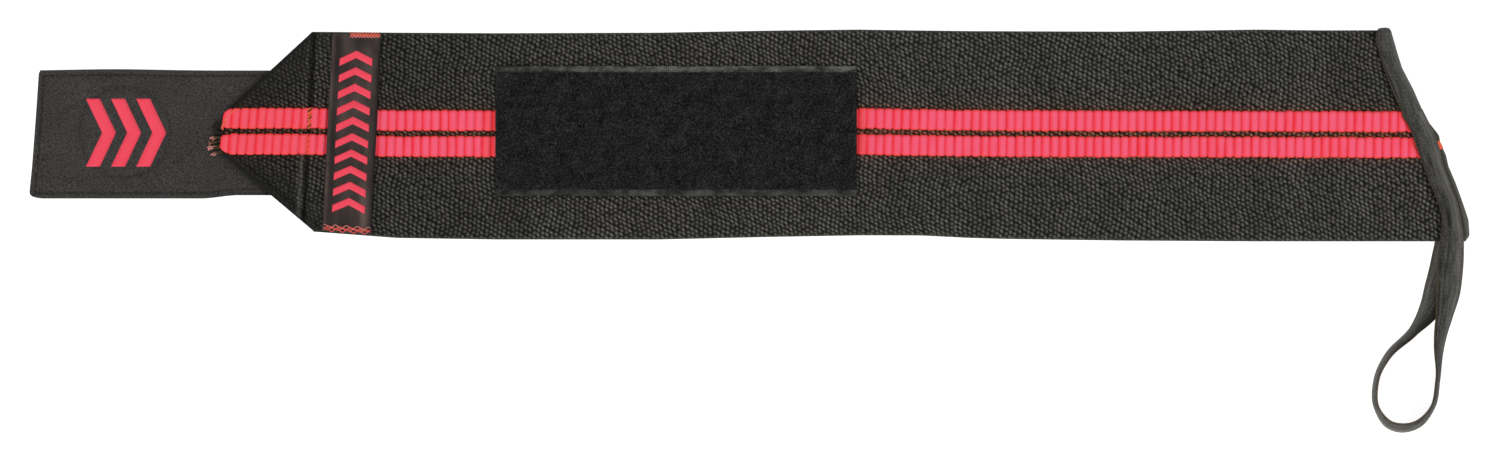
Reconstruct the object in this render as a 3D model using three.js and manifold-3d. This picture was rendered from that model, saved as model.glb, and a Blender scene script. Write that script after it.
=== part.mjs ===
// A wrist wrap for lifting, laid flat with its outer face up.
// Millimetres, +Z up. The origin lies under the middle of the wrap's whole length,
// on the line halfway across the band and on the surface that the wrap rests on.
import * as THREE from 'three';
import Module from 'manifold-3d';
import { mergeVertices } from 'three/addons/utils/BufferGeometryUtils.js';

const wasm = await Module();
wasm.setup();
const { lerp, smoothstep, degToRad } = THREE.MathUtils;

// Gap left between layers that are sewn or pressed together
const layerGap = 0.3;

// Elastic band, from its folded tip to the far corner of its cut end
const bandLength = 461.5;
const bandWidth = 76;
const bandThickness = 1.8;
const tipWidth = 19;
const foldDepth = 32;
const flapReach = 19;
const flapLip = 0.4;
const seamSetBack = 31;
const rampLength = 36;
const cutSlant = 30;
const endRiseLength = 30;
const waveHeight = 0.7;
const waveLength = 74;

// Closing tab under the folded end, with the hook tape on its underside
const tabReach = 71.5;
const tabWidth = 47.4;
const tabThickness = 1;
const tabTuck = 2;
const tabPinch = 1.2;
const hookThickness = 1.2;
const hookMargin = 3;

// Red ribbed stripes
const stripeWidth = 7.6;
const stripeSpacing = 9.5;
const stripeBase = 0.5;
const ribHeight = 0.6;
const ribPitch = 3.22;
const stripeInset = 0.8;
const slantedRibs = 4;

// Loop patch, whose flat selvedges edge the raised pile
const patchLength = 133.7;
const patchWidth = 48.1;
const patchFromTip = 101;
const patchShift = 1.3;
const patchBase = 0.9;
const pileHeight = 1.4;
const selvedgeWidth = 2.3;

// Woven label across the band, with its left edge folded over
const labelWidth = 18;
const labelFromTip = 48;
const labelThickness = 1;
const labelFold = 1.6;
const labelStep = 0.3;
const labelColumns = [0.3, 0.5, 0.75, 1];
const labelLean = 0.05;
const labelReach = 0.985;

// Tape that binds the cut end and makes the thumb loop
const tapeWidth = 9.8;
const tapeThickness = 1;
const tapeTuck = 1.5;
const tapeShrink = 0.92;
const loopReach = 28.5;
const loopDrop = 68.9;
const foldTop = 1.01;
const foldFoot = 0.14;
const foldOverlap = 0.1;
const leafWidth = 3.2;

// Edges of the band along its length and where the stripes run, as shares of half its width
const bandShape = [
  { along: 0, upper: 0.99, lower: 0.93, stripes: 0.03 },
  { along: 0.075, upper: 0.99, lower: 0.94, stripes: 0.03 },
  { along: 0.14, upper: 0.985, lower: 1, stripes: 0.01 },
  { along: 0.22, upper: 0.98, lower: 1.015, stripes: 0.01 },
  { along: 0.35, upper: 0.985, lower: 1.015, stripes: 0.015 },
  { along: 0.44, upper: 1.005, lower: 0.99, stripes: 0.025 },
  { along: 0.51, upper: 1.015, lower: 0.975, stripes: 0.03 },
  { along: 0.6, upper: 1, lower: 0.99, stripes: 0.012 },
  { along: 0.72, upper: 0.995, lower: 1.025, stripes: 0.006 },
  { along: 0.83, upper: 1.015, lower: 1.033, stripes: 0.004 },
  { along: 1, upper: 1.02, lower: 1.033, stripes: -0.005 },
];

// Cut end: how far it is set back from the far corner, as a share of the slant
const cutShape = [
  { across: -1, setBack: 0.05 },
  { across: -0.95, setBack: 0 },
  { across: -0.8, setBack: 0.015 },
  { across: -0.65, setBack: 0.08 },
  { across: -0.45, setBack: 0.175 },
  { across: -0.3, setBack: 0.26 },
  { across: -0.155, setBack: 0.29 },
  { across: -0.01, setBack: 0.36 },
  { across: 0.1, setBack: 0.485 },
  { across: 0.175, setBack: 0.59 },
  { across: 0.42, setBack: 0.725 },
  { across: 0.64, setBack: 0.875 },
  { across: 1, setBack: 1.01 },
];

// Free end of the tab, as shares of its reach beyond the folded tip
const tabShape = [
  { across: -1, reach: 0.935 },
  { across: -0.93, reach: 0.99 },
  { across: -0.84, reach: 1 },
  { across: -0.5, reach: 0.987 },
  { across: 0, reach: 0.974 },
  { across: 0.5, reach: 0.962 },
  { across: 0.95, reach: 0.952 },
  { across: 1, reach: 0.944 },
];

// Tape on the band: distance of its two edges from the cut end, as shares of its width
const edgeRun = [
  { across: 0.98, inner: -0.58, outer: 0.13 },
  { across: 0.64, inner: -0.58, outer: 0.13 },
  { across: 0.42, inner: -0.71, outer: 0.13 },
  { across: 0.2, inner: -0.7, outer: 0.13 },
  { across: 0.1, inner: -0.86, outer: -0.04 },
  { across: -0.01, inner: -1.08, outer: -0.26 },
  { across: -0.155, inner: -1.08, outer: -0.28 },
  { across: -0.3, inner: -0.96, outer: -0.16 },
  { across: -0.45, inner: -0.98, outer: -0.21 },
  { across: -0.65, inner: -0.96, outer: -0.2 },
  { across: -0.8, inner: -1.04, outer: -0.26 },
  { across: -0.93, inner: -1.13, outer: -0.2 },
];

// Thumb loop below the band: place as shares of its reach and drop, roll in degrees,
// and the height of the tape's lower edge as a share of the tape's width
const loopRun = [
  { sideways: -0.02, down: 0.09, roll: 14, lift: 0.34 },
  { sideways: -0.048, down: 0.269, roll: 36, lift: 0.22 },
  { sideways: -0.105, down: 0.398, roll: 61, lift: 0.14 },
  { sideways: -0.16, down: 0.548, roll: 71, lift: 0.03 },
  { sideways: -0.179, down: 0.742, roll: 90, lift: 0 },
  { sideways: -0.264, down: 0.882, roll: 84, lift: 0 },
  { sideways: -0.44, down: 0.968, roll: 77, lift: 0 },
  { sideways: -0.63, down: 1, roll: 76, lift: 0 },
  { sideways: -0.822, down: 0.973, roll: 81, lift: 0 },
  { sideways: -0.982, down: 0.871, roll: 89, lift: 0 },
  { sideways: -0.984, down: 0.742, roll: 89, lift: 0 },
  { sideways: -0.816, down: 0.613, roll: 85, lift: 0 },
  { sideways: -0.484, down: 0.484, roll: 73, lift: 0 },
  { sideways: -0.257, down: 0.355, roll: 38, lift: 0 },
  { sideways: -0.17, down: 0.235, roll: 11, lift: 0 },
  { sideways: -0.09, down: 0.1, roll: 2, lift: 0 },
  { sideways: -0.02, down: -0.06, roll: 0, lift: 0 },
  { sideways: -0.06, down: -0.24, roll: 0, lift: 0 },
  { sideways: -0.17, down: -0.4, roll: 0, lift: 0 },
];

// How finely the curved pieces are stepped, and how near two corners count as one
const bandSteps = [4, 8, 7, 18, 8];
const flapSteps = 8;
const tabSteps = 6;
const foldSteps = 10;
const stepsPerStation = 3;
const mergeDistance = 1e-4;

const unitX = new THREE.Vector3(1, 0, 0);
const unitY = new THREE.Vector3(0, 1, 0);
const unitZ = new THREE.Vector3(0, 0, 1);

const half = bandWidth / 2;
const overallLength = bandLength + tabReach;
const cornerX = overallLength / 2;
const tipX = cornerX - bandLength;
const seamX = tipX + seamSetBack;
const tabEnd = seamX + tabTuck;
const rampStart = tabEnd + layerGap;
const rampEnd = rampStart + rampLength;
const patchStart = tipX + patchFromTip;
const patchEnd = patchStart + patchLength;
const riseEnd = cornerX - cutSlant - tapeWidth;
const riseStart = riseEnd - endRiseLength;
const foldStack = hookThickness + tabThickness + bandThickness + 3 * layerGap;
const endRise = tapeThickness + layerGap;
const stripeHump = stripeBase + layerGap;
const humpReach = (stripeSpacing + stripeWidth) / 2 + layerGap;
const humpFoot = humpReach + 3 * stripeHump;

// Row of a table at a value between its rows, with every column interpolated
function rowAt(table, column, value) {
  const last = table.length - 1;
  const found = table.findIndex((row) => row[column] >= value);
  const upper = found < 0 ? last : Math.max(found, 1);
  const from = table[upper - 1];
  const to = table[upper];
  const share = THREE.MathUtils.clamp((value - from[column]) / (to[column] - from[column]), 0, 1);
  return Object.fromEntries(Object.keys(from).map((key) => [key, lerp(from[key], to[key], share)]));
}

// One closed skin: corners that meet are shared, so that only places are left
function closed(geometry) {
  geometry.deleteAttribute('normal');
  geometry.deleteAttribute('uv');
  return mergeVertices(geometry, mergeDistance);
}

// Sheet of columns by rows, whose upper and lower faces are put in place by a function
function sheet(columns, rows, place) {
  const geometry = new THREE.BoxGeometry(1, 1, 1, columns, rows, 1);
  const position = geometry.getAttribute('position');
  for (let index = 0; index < position.count; index += 1) {
    const column = Math.round((position.getX(index) + 0.5) * columns);
    const row = Math.round((position.getY(index) + 0.5) * rows);
    const point = place(column, row, position.getZ(index) > 0);
    position.setXYZ(index, point.x, point.y, point.z);
  }
  return closed(geometry);
}

// Outline pushed along a direction, with its own two directions given
function pushed(outline, depth, right, up, away) {
  const geometry = new THREE.ExtrudeGeometry(new THREE.Shape(outline), { depth, bevelEnabled: false });
  return geometry.applyMatrix4(new THREE.Matrix4().makeBasis(right, up, away));
}

// Solids sewn into one
function joined(...geometries) {
  const solids = geometries.map((geometry) => {
    const vertProperties = new Float32Array(geometry.getAttribute('position').array);
    const triVerts = new Uint32Array(geometry.getIndex().array);
    return new wasm.Manifold(new wasm.Mesh({ numProp: 3, vertProperties, triVerts }));
  });
  const mesh = solids.reduce((whole, solid) => whole.add(solid)).getMesh();
  const geometry = new THREE.BufferGeometry();
  geometry.setAttribute('position', new THREE.BufferAttribute(mesh.vertProperties, 3));
  geometry.setIndex(new THREE.BufferAttribute(mesh.triVerts, 1));
  return geometry;
}

// Height of the band's underside: up on the folded layers, down on the surface, up on the tape
function undersideAt(x) {
  const fold = foldStack * (1 - smoothstep(x, rampStart, rampEnd));
  const end = endRise * smoothstep(x, riseStart, riseEnd);
  const free = smoothstep(x, patchEnd, patchEnd + waveLength) * (1 - smoothstep(x, riseStart, riseEnd));
  const wave = 0.5 - 0.5 * Math.cos((2 * Math.PI * (x - patchEnd)) / waveLength);
  return fold + end + waveHeight * free * wave;
}

function topAt(x) {
  return undersideAt(x) + bandThickness;
}

// Distance of the band's edge from its middle line, on the side that the sign gives
function edgeAt(x, side) {
  const shape = rowAt(bandShape, 'along', (x - tipX) / bandLength);
  return half * (side > 0 ? shape.upper : shape.lower);
}

function stripesAt(x) {
  return half * rowAt(bandShape, 'along', (x - tipX) / bandLength).stripes;
}

function cutAt(across) {
  return cornerX - cutSlant * rowAt(cutShape, 'across', across).setBack;
}

// Rise over the pressed stripes, for what is sewn across them
function humpAt(x, y) {
  return stripeHump * (1 - smoothstep(Math.abs(y - stripesAt(x)), humpReach, humpFoot));
}

// One of the band's two corners, folded under along its diagonal
function flap(side) {
  const outerRadius = bandThickness + layerGap / 2;
  const innerRadius = layerGap / 2;
  const tip = new THREE.Vector2(tipX, (side * tipWidth) / 2);
  const shoulderX = tipX + foldDepth;
  const shoulder = new THREE.Vector2(shoulderX, side * edgeAt(shoulderX, side));
  const [start, end] = side > 0 ? [tip, shoulder] : [shoulder, tip];
  const along = end.clone().sub(start).normalize();
  const inward = new THREE.Vector2(along.y, -along.x);
  const middle = foldStack - innerRadius;
  const bends = [45, 90, 135, 180].map(degToRad);
  return sheet(flapSteps, bends.length, (column, row, outside) => {
    const share = column / flapSteps;
    const bend = bends[Math.min(row, bends.length - 1)];
    const radius = outside ? outerRadius : innerRadius;
    const point = start.clone().lerp(end, share);
    const flat = row < bends.length ? 0 : flapLip + flapReach * (1 - Math.abs(2 * share - 1));
    point.addScaledVector(inward, outerRadius - radius * Math.sin(bend) + flat);
    return new THREE.Vector3(point.x, point.y, middle + radius * Math.cos(bend));
  });
}

// The band's upper layer, joined to its two folded corners
function elasticBand() {
  const tipShare = tipWidth / bandWidth;
  const rows = [...cutShape.map(({ across }) => across), -tipShare, tipShare].sort((a, b) => a - b);
  const foldAt = (across) => {
    const folded = Math.max(0, Math.abs(across) - tipShare) / (1 - tipShare);
    return tipX + foldDepth * folded;
  };
  const bounds = [foldAt, () => tabEnd, () => rampEnd, () => patchEnd, () => riseStart, cutAt];
  const columns = bandSteps.flatMap((count, span) => (
    Array.from({ length: count }, (_, step) => ({ span, share: step / count }))
  ));
  columns.push({ span: bandSteps.length - 1, share: 1 });
  const layer = sheet(columns.length - 1, rows.length - 1, (column, row, isUpper) => {
    const across = rows[row];
    const { span, share } = columns[column];
    const x = lerp(bounds[span](across), bounds[span + 1](across), share);
    const z = isUpper ? topAt(x) : undersideAt(x);
    return new THREE.Vector3(x, across * edgeAt(x, across), z);
  });
  return joined(layer, flap(1), flap(-1));
}

// Ribbed stripe, pressed flat under the label and the patch and cut along the tape's edge
function stripe(side) {
  const startX = tipX + stripeInset;
  const endX = cutAt(0) - tapeWidth;
  const slantStart = endX - slantedRibs * ribPitch;
  const ribCount = Math.floor((endX - startX) / ribPitch);
  const labelX = tipX + labelFromTip;
  const patchX = (patchStart + patchEnd) / 2;
  const isPressed = (x) => (
    Math.abs(x - labelX) < labelWidth / 2 + ribPitch
    || Math.abs(x - patchX) < patchLength / 2 + ribPitch
  );
  const columns = Array.from({ length: ribCount }, (_, rib) => {
    const x = startX + rib * ribPitch;
    const valley = { x, height: 0 };
    const crest = { x: x + ribPitch / 2, height: ribHeight };
    return isPressed(crest.x) ? [valley] : [valley, crest];
  }).flat();
  columns.push({ x: endX, height: 0 });
  return sheet(columns.length - 1, 1, (column, row, isUpper) => {
    const { x, height } = columns[column];
    const y = stripesAt(x) + (side * stripeSpacing) / 2 + stripeWidth * (row - 0.5);
    const edge = tapeEdgeAt(y / edgeAt(x, y)) - layerGap;
    const slanted = x + (edge - endX) * smoothstep(x, slantStart, endX);
    const z = topAt(slanted) + layerGap + (isUpper ? stripeBase + height : 0);
    return new THREE.Vector3(slanted, y, z);
  });
}

// Loop patch: flat selvedges along both long edges, pile between them
function loopPatch() {
  const side = patchWidth / 2;
  const pile = side - selvedgeWidth;
  const centre = stripesAt((patchStart + patchEnd) / 2) - patchShift;
  const hump = [
    [centre - humpFoot, 0],
    [centre - humpReach, stripeHump],
    [centre + humpReach, stripeHump],
    [centre + humpFoot, 0],
  ];
  const pileTop = patchBase + pileHeight;
  const outline = [
    [-side, 0],
    ...hump,
    [side, 0],
    [side, patchBase],
    [pile, patchBase],
    [pile - pileHeight / 2, pileTop],
    ...hump.map(([y, z]) => [y, z + pileTop]).reverse(),
    [pileHeight / 2 - pile, pileTop],
    [-pile, patchBase],
    [-side, patchBase],
  ].map(([y, z]) => new THREE.Vector2(y, z));
  return closed(pushed(outline, patchLength, unitY, unitZ, unitX));
}

// Woven label across the band, over the stripes, with a raised fold along its left edge
function wovenLabel() {
  const columns = [0, labelFold, labelFold + labelStep, ...labelColumns.map((share) => share * labelWidth)];
  const centre = stripesAt(tipX + labelFromTip);
  const humpRows = [-humpFoot, -humpReach, humpReach, humpFoot].map((y) => (centre + y) / half);
  const rows = [-1, ...humpRows, 1];
  return sheet(columns.length - 1, rows.length - 1, (column, row, isUpper) => {
    const offset = columns[column];
    const plainX = tipX + labelFromTip - labelWidth / 2 + offset;
    const y = rows[row] * labelReach * (Math.abs(rows[row]) === 1 ? edgeAt(plainX, rows[row]) : half);
    const x = plainX + labelLean * y;
    const fold = offset <= labelFold ? labelThickness / 3 : 0;
    const z = topAt(x) + layerGap + humpAt(x, y) + (isUpper ? labelThickness + fold : 0);
    return new THREE.Vector3(x, y, z);
  });
}

// Cloth face of the tab, from its free end to just past the seam
function tabFace() {
  return sheet(tabSteps, tabShape.length - 1, (column, row, isUpper) => {
    const { across, reach } = tabShape[row];
    const x = lerp(tipX - tabReach * reach, tabEnd, column / tabSteps);
    const pinch = across < 0 ? tabPinch * smoothstep(x, tipX - tabReach / 2, tipX) : 0;
    const y = across * (tabWidth / 2 - pinch);
    return new THREE.Vector3(x, y, hookThickness + layerGap + (isUpper ? tabThickness : 0));
  });
}

// Hook tape under the tab, inside its edges
function hookTape() {
  const length = tabEnd - tipX + tabReach * tabShape[0].reach - 2 * hookMargin;
  const width = tabWidth - 2 * (hookMargin + tabPinch);
  return closed(new THREE.BoxGeometry(length, width, hookThickness));
}

// Edge of the tape on the band that faces the stripes
function tapeEdgeAt(across) {
  return cutAt(across) + tapeWidth * rowAt([...edgeRun].reverse(), 'across', across).inner;
}

// Tape folded round the cut end, from the band's upper edge to where it opens out flat
function tapeFold() {
  return sheet(foldSteps, 3, (column, row, outside) => {
    const across = lerp(foldTop, foldFoot, column / foldSteps);
    const y = across * edgeAt(riseEnd, 1);
    const edge = cutAt(Math.min(across, 1));
    const grow = outside ? layerGap + tapeThickness : layerGap;
    const x = [tapeEdgeAt(across), edge + grow, edge + grow, edge - leafWidth][row];
    const z = row < 2 ? topAt(riseEnd) + grow : undersideAt(riseEnd) - grow;
    return new THREE.Vector3(x, y, z);
  });
}

// End of the tape, tucked over the band's upper edge
function tapeEnd() {
  const top = topAt(riseEnd) + layerGap + tapeThickness;
  const y = edgeAt(riseEnd, 1) + layerGap;
  const from = tapeEdgeAt(1);
  const to = cutAt(1) + layerGap + tapeThickness;
  const geometry = new THREE.BoxGeometry(to - from, tapeTuck, top);
  geometry.translate((from + to) / 2, y + tapeTuck / 2, top / 2);
  return closed(geometry);
}

// Tape flat on the band's corner, then out round the thumb loop and back under the corner
function tapeLoop() {
  const flatLift = (topAt(riseEnd) + layerGap) / tapeWidth;
  const flatRows = edgeRun.filter(({ across }) => across <= foldFoot + foldOverlap);
  const onBand = flatRows.map(({ across, inner, outer }) => ({
    plan: new THREE.Vector3(
      cutAt(across) + (tapeWidth * (inner + outer)) / 2,
      across * edgeAt(riseEnd, across),
      0,
    ),
    turn: new THREE.Vector3(0, tapeShrink * (outer - inner), flatLift),
  }));
  const start = onBand.at(-1).plan;
  const edgeY = -edgeAt(riseEnd, -1);
  const inLoop = loopRun.map(({ sideways, down, roll, lift }) => ({
    plan: new THREE.Vector3(start.x + loopReach * sideways, edgeY - loopDrop * down, 0),
    turn: new THREE.Vector3(degToRad(roll), 1, lift),
  }));
  const stations = [...onBand, ...inLoop];
  const path = new THREE.CatmullRomCurve3(stations.map(({ plan }) => plan), false, 'centripetal');
  const turns = new THREE.CatmullRomCurve3(stations.map(({ turn }) => turn), false, 'centripetal');
  const steps = (stations.length - 1) * stepsPerStation;
  return sheet(steps, 1, (column, row, isUpper) => {
    const share = column / steps;
    const tangent = path.getTangent(share);
    const outward = new THREE.Vector3(-tangent.y, tangent.x, 0).normalize();
    const { x: roll, y: width, z: lift } = turns.getPoint(share);
    const [sine, cosine] = [Math.sin(roll), Math.cos(roll)];
    const across = outward.clone().multiplyScalar(cosine).addScaledVector(unitZ, -sine);
    const face = outward.clone().multiplyScalar(sine).addScaledVector(unitZ, cosine);
    const lowest = tapeWidth * Math.max(0, lift);
    const rise = (tapeWidth * width * Math.abs(sine) + tapeThickness * Math.abs(cosine)) / 2;
    return path.getPoint(share)
      .setZ(lowest + rise)
      .addScaledVector(across, tapeWidth * width * (row - 0.5))
      .addScaledVector(face, tapeThickness * (isUpper ? 0.5 : -0.5));
  });
}

// Named mesh in its own cloth
function piece(name, geometry, color, roughness) {
  geometry.computeVertexNormals();
  const material = new THREE.MeshStandardMaterial({ color, roughness, metalness: 0, flatShading: true });
  const mesh = new THREE.Mesh(geometry, material);
  mesh.name = name;
  return mesh;
}

const loopPile = piece('loop_patch', loopPatch(), 0x202020, 1);
loopPile.position.set(patchStart, patchShift, topAt(patchStart) + layerGap);

const hooks = piece('hook_tape', hookTape(), 0x1c1c1c, 0.8);
const hookStart = tipX - tabReach * tabShape[0].reach;
hooks.position.set((hookStart + tabEnd) / 2, 0, hookThickness / 2);

const band = new THREE.Group();
band.add(
  piece('elastic_band', elasticBand(), 0x383634, 0.95),
  piece('stripe_upper', stripe(1), 0xef5268, 0.7),
  piece('stripe_lower', stripe(-1), 0xef5268, 0.7),
  piece('woven_label', wovenLabel(), 0x413836, 0.5),
  loopPile,
);

const closing = new THREE.Group();
closing.add(piece('tab_face', tabFace(), 0x3a3836, 0.85), hooks);

const group = new THREE.Group();
group.add(band, closing, piece('thumb_tape', joined(tapeFold(), tapeEnd(), tapeLoop()), 0x46443f, 0.85));

export default group;
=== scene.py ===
import math

import bpy
import numpy as np
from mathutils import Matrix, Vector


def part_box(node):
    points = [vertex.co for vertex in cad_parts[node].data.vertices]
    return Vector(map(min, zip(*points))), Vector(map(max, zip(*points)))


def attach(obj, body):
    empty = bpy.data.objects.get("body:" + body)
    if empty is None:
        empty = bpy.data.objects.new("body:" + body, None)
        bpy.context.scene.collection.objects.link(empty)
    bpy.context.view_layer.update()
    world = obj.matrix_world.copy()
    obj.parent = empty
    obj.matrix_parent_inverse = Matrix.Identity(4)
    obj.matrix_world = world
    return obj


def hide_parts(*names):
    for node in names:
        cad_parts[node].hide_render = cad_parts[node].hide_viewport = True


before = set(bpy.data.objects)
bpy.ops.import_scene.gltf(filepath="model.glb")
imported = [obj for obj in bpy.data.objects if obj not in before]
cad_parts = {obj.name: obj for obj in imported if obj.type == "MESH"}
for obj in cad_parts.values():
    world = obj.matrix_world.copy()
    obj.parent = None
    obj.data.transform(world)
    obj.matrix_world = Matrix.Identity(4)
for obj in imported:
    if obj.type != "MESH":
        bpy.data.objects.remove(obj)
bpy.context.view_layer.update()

chance = np.random.default_rng(11)
scene = bpy.context.scene
toMillimetres = 1000.0
toMetres = 0.001


# Camera, floor and light

studio = {
    "cameraHeight": 3.0,
    "frameWidth": 0.5556,  # how much of the floor the picture takes in, in metres
    "lookAtX": 0.0002,
    "lookAtY": -0.03534,
    "sensor": 36.0,
    "floorSize": 16.0,
    "floorGlow": 0.78,  # a little light of its own, as a lit table has
    "skyStrength": 0.62,
    "keyStrength": 1.15,
    "keyTilt": (40, -28, 0),  # from the upper left
    "fillStrength": 0.35,
    "fillTilt": (-35, 38, 0),
    "softness": 34,
}


def addObject(name, data):
    made = bpy.data.objects.new(name, data)
    scene.collection.objects.link(made)
    return made


def addCamera():
    data = bpy.data.cameras.new("camera")
    data.sensor_width = studio["sensor"]
    data.lens = studio["sensor"] * studio["cameraHeight"] / studio["frameWidth"]
    scene.camera = addObject("camera", data)
    scene.camera.location = (studio["lookAtX"], studio["lookAtY"], studio["cameraHeight"])


def addSun(name):
    light = bpy.data.lights.new(name, "SUN")
    light.energy = studio[name + "Strength"]
    light.angle = math.radians(studio["softness"])
    addObject(name, light).rotation_euler = [math.radians(turn) for turn in studio[name + "Tilt"]]


def addSky():
    scene.world = bpy.data.worlds.new("studio_sky")
    scene.world.use_nodes = True
    background = scene.world.node_tree.nodes["Background"]
    background.inputs["Color"].default_value = (1, 1, 1, 1)
    background.inputs["Strength"].default_value = studio["skyStrength"]


addCamera()
addSky()
addSun("key")
addSun("fill")
scene.view_settings.view_transform = "Standard"
print("camera and light are in place")


# Node helpers

current = {}  # the material and the node tree that are being built


class Field:
    # a node's output, which adds and multiplies as a number does
    def __init__(self, socket):
        self.socket = socket

    def part(self, name):
        return Field(self.socket.node.outputs[name])

    def __add__(self, other):
        return calc("ADD", self, other)

    def __sub__(self, other):
        return calc("SUBTRACT", self, other)

    def __rsub__(self, other):
        return calc("SUBTRACT", other, self)

    def __mul__(self, other):
        return calc("MULTIPLY", self, other)

    def __truediv__(self, other):
        return calc("DIVIDE", self, other)


def add(kind, inputs=None, out=0, **settings):
    made = current["tree"].nodes.new(kind)
    for key, value in settings.items():
        setattr(made, key, value)
    for key, value in (inputs or {}).items():
        if isinstance(value, Field):
            current["tree"].links.new(value.socket, made.inputs[key])
        elif value is not None:
            made.inputs[key].default_value = value
    return Field(made.outputs[out]) if made.outputs else None


def calc(operation, first, second=None):
    return add("ShaderNodeMath", {0: first, 1: second}, operation=operation)


def join(**axes):
    return add("ShaderNodeCombineXYZ", axes)


def split(vector):
    made = add("ShaderNodeSeparateXYZ", {"Vector": vector})
    return [made.part(axis) for axis in "XYZ"]


def ramp(value, low, high):
    limits = {"Value": value, "From Min": low, "From Max": high}
    return add("ShaderNodeMapRange", limits, interpolation_type="SMOOTHSTEP")


def near(value, middle, reach, fade=0.0):
    return ramp(calc("ABSOLUTE", value - middle), reach, fade)


def mixColor(factor, first, second, blend="MIX"):
    colors = {0: factor, 6: first, 7: second}
    return add("ShaderNodeMix", colors, out=2, data_type="RGBA", blend_type=blend)


def noise(scale, detail=2.0, roughness=0.5, stretch=None, vector=None):
    vector = vector or add("ShaderNodeTexCoord", out="Object")
    if stretch:
        vector = add("ShaderNodeMapping", {"Vector": vector, "Scale": stretch})
    inputs = {"Vector": vector, "Scale": scale, "Detail": detail, "Roughness": roughness}
    return add("ShaderNodeTexNoise", inputs)


def attribute(name, out="Fac"):
    return add("ShaderNodeAttribute", out=out, attribute_name=name)


def bump(height, distance, strength=1.0):
    return add("ShaderNodeBump", {"Strength": strength, "Distance": distance, "Height": height})


# multiplies a colour by a layer holding the cloth's tone together with painted shade and painted highlights
def toned(color, tone=None):
    tone = tone or attribute("tone")
    return mixColor(1.0, color, join(X=tone, Y=tone, Z=tone), "MULTIPLY")


def srgb(red, green, blue):
    shares = [value / 255 for value in (red, green, blue)]
    return [s / 12.92 if s <= 0.04045 else ((s + 0.055) / 1.055) ** 2.4 for s in shares] + [1.0]


def newMaterial(name):
    material = bpy.data.materials.new(name)
    material.use_nodes = True
    material.node_tree.nodes.clear()
    current.update(material=material, tree=material.node_tree)


def finishCloth(color, roughness, normal, specular=0.2, glow=0.0):
    shader = add("ShaderNodeBsdfPrincipled", {
        "Base Color": color, "Roughness": roughness, "Normal": normal, "Specular IOR Level": specular,
        "Emission Color": (1, 1, 1, 1), "Emission Strength": glow,
    })
    add("ShaderNodeOutputMaterial", {"Surface": shader})
    return current["material"]


# Materials

def knotShape(weave):
    # round knots in columns, every other column half a pitch up; also a lot drawn for each knot
    across, along, _ = split(weave)
    column = calc("ROUND", across)
    raised = along - calc("PINGPONG", column, 1.0) * 0.5
    row = calc("ROUND", raised)
    lot = add("ShaderNodeTexWhiteNoise", {"Vector": join(X=column, Y=row)}, noise_dimensions="3D")
    away = split(lot.part(1))
    sideways = away[0] * 0.26 + (across - column) - 0.13
    upward = away[1] * 0.3 + (raised - row) - 0.15
    leaning = sideways * (lot * 0.7 - 0.05) + upward  # each leans down to the right, some more
    return calc("EXPONENT", sideways * sideways * -8.0 + leaning * leaning * -9.5), lot


def weaveMaterial():
    colors = {
        "gap": srgb(19, 19, 18), "knot": srgb(144, 140, 134), "plain": srgb(62, 61, 58),
        "greenish": srgb(118, 118, 108), "rim": srgb(76, 76, 66),
        "burnt": srgb(74, 74, 67), "melted": srgb(118, 117, 108),
        "bloom": (2.7, 1.2, 0.88, 1.0),  # a red tint for the weave beside the stripes
    }
    newMaterial("band_elastic")
    knots, lot = knotShape(attribute("weave", "Vector"))
    fibre = noise(2600, 3, 0.6, (1, 1.6, 1))
    patchy = noise(90, 3, 0.55, (1, 0.25, 1))
    faded = attribute("faded")
    bright = knots * (lot * 0.36 + 0.41) * (fibre * 1.3 + 0.3) * (patchy * 0.9 + 0.55)
    color = mixColor(bright, colors["gap"], mixColor(noise(420), colors["knot"], colors["greenish"]))
    color = mixColor(faded, color, mixColor(fibre, colors["gap"], colors["plain"]))
    color = mixColor(attribute("rim"), color, colors["rim"])
    color = mixColor(attribute("melted"), color, mixColor(fibre, colors["burnt"], colors["melted"]))
    reddened = mixColor(1.0, color, colors["bloom"], "MULTIPLY")
    color = mixColor(attribute("bloom"), color, reddened)
    height = fibre * 0.5 + knots * (1.0 - faded)
    return finishCloth(toned(color), 0.85, bump(height, 0.0003, 0.9), 0.05)


def stripeMaterial():
    valley, crest, edge = srgb(246, 36, 50), srgb(250, 92, 122), srgb(245, 72, 64)
    newMaterial("stripe_red")
    strands = noise(1900, stretch=(1, 0.12, 1))
    fine = noise(3200, 2, 0.6)
    each = noise(260, 1, 0.5, (1, 0.3, 1))
    # pink on the rib crests is a painted highlight and the deeper red in the valleys is painted shade, both
    # set by each rib's height
    lit = ramp(attribute("crest"), 0.36, 0.98) + strands * 0.5 + each * 0.6 - 0.57
    color = mixColor(lit, valley, mixColor(attribute("pressed"), crest, edge))
    color = toned(mixColor(attribute("margin") * 0.75, color, edge), fine * 0.24 + 0.88)
    return finishCloth(color, 0.6, bump(strands + fine * 0.5, 0.0001, 0.5), 0.3)


def pileMaterial():
    newMaterial("pile_black")
    clumps = noise(1700, 4, 0.8)
    fibres = noise(1250, stretch=(1, 0.4, 1))
    share = ramp(clumps * (noise(210, 3, 0.6) * 0.4 + 0.8), 0.38, 0.74)
    color = mixColor(share, srgb(5, 5, 6), srgb(76, 76, 76))
    color = mixColor(ramp(fibres, 0.6, 0.72) * 0.45, color, srgb(84, 84, 83))
    return finishCloth(color, 0.95, bump(clumps, 0.0004, 0.9), 0.1)


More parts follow.
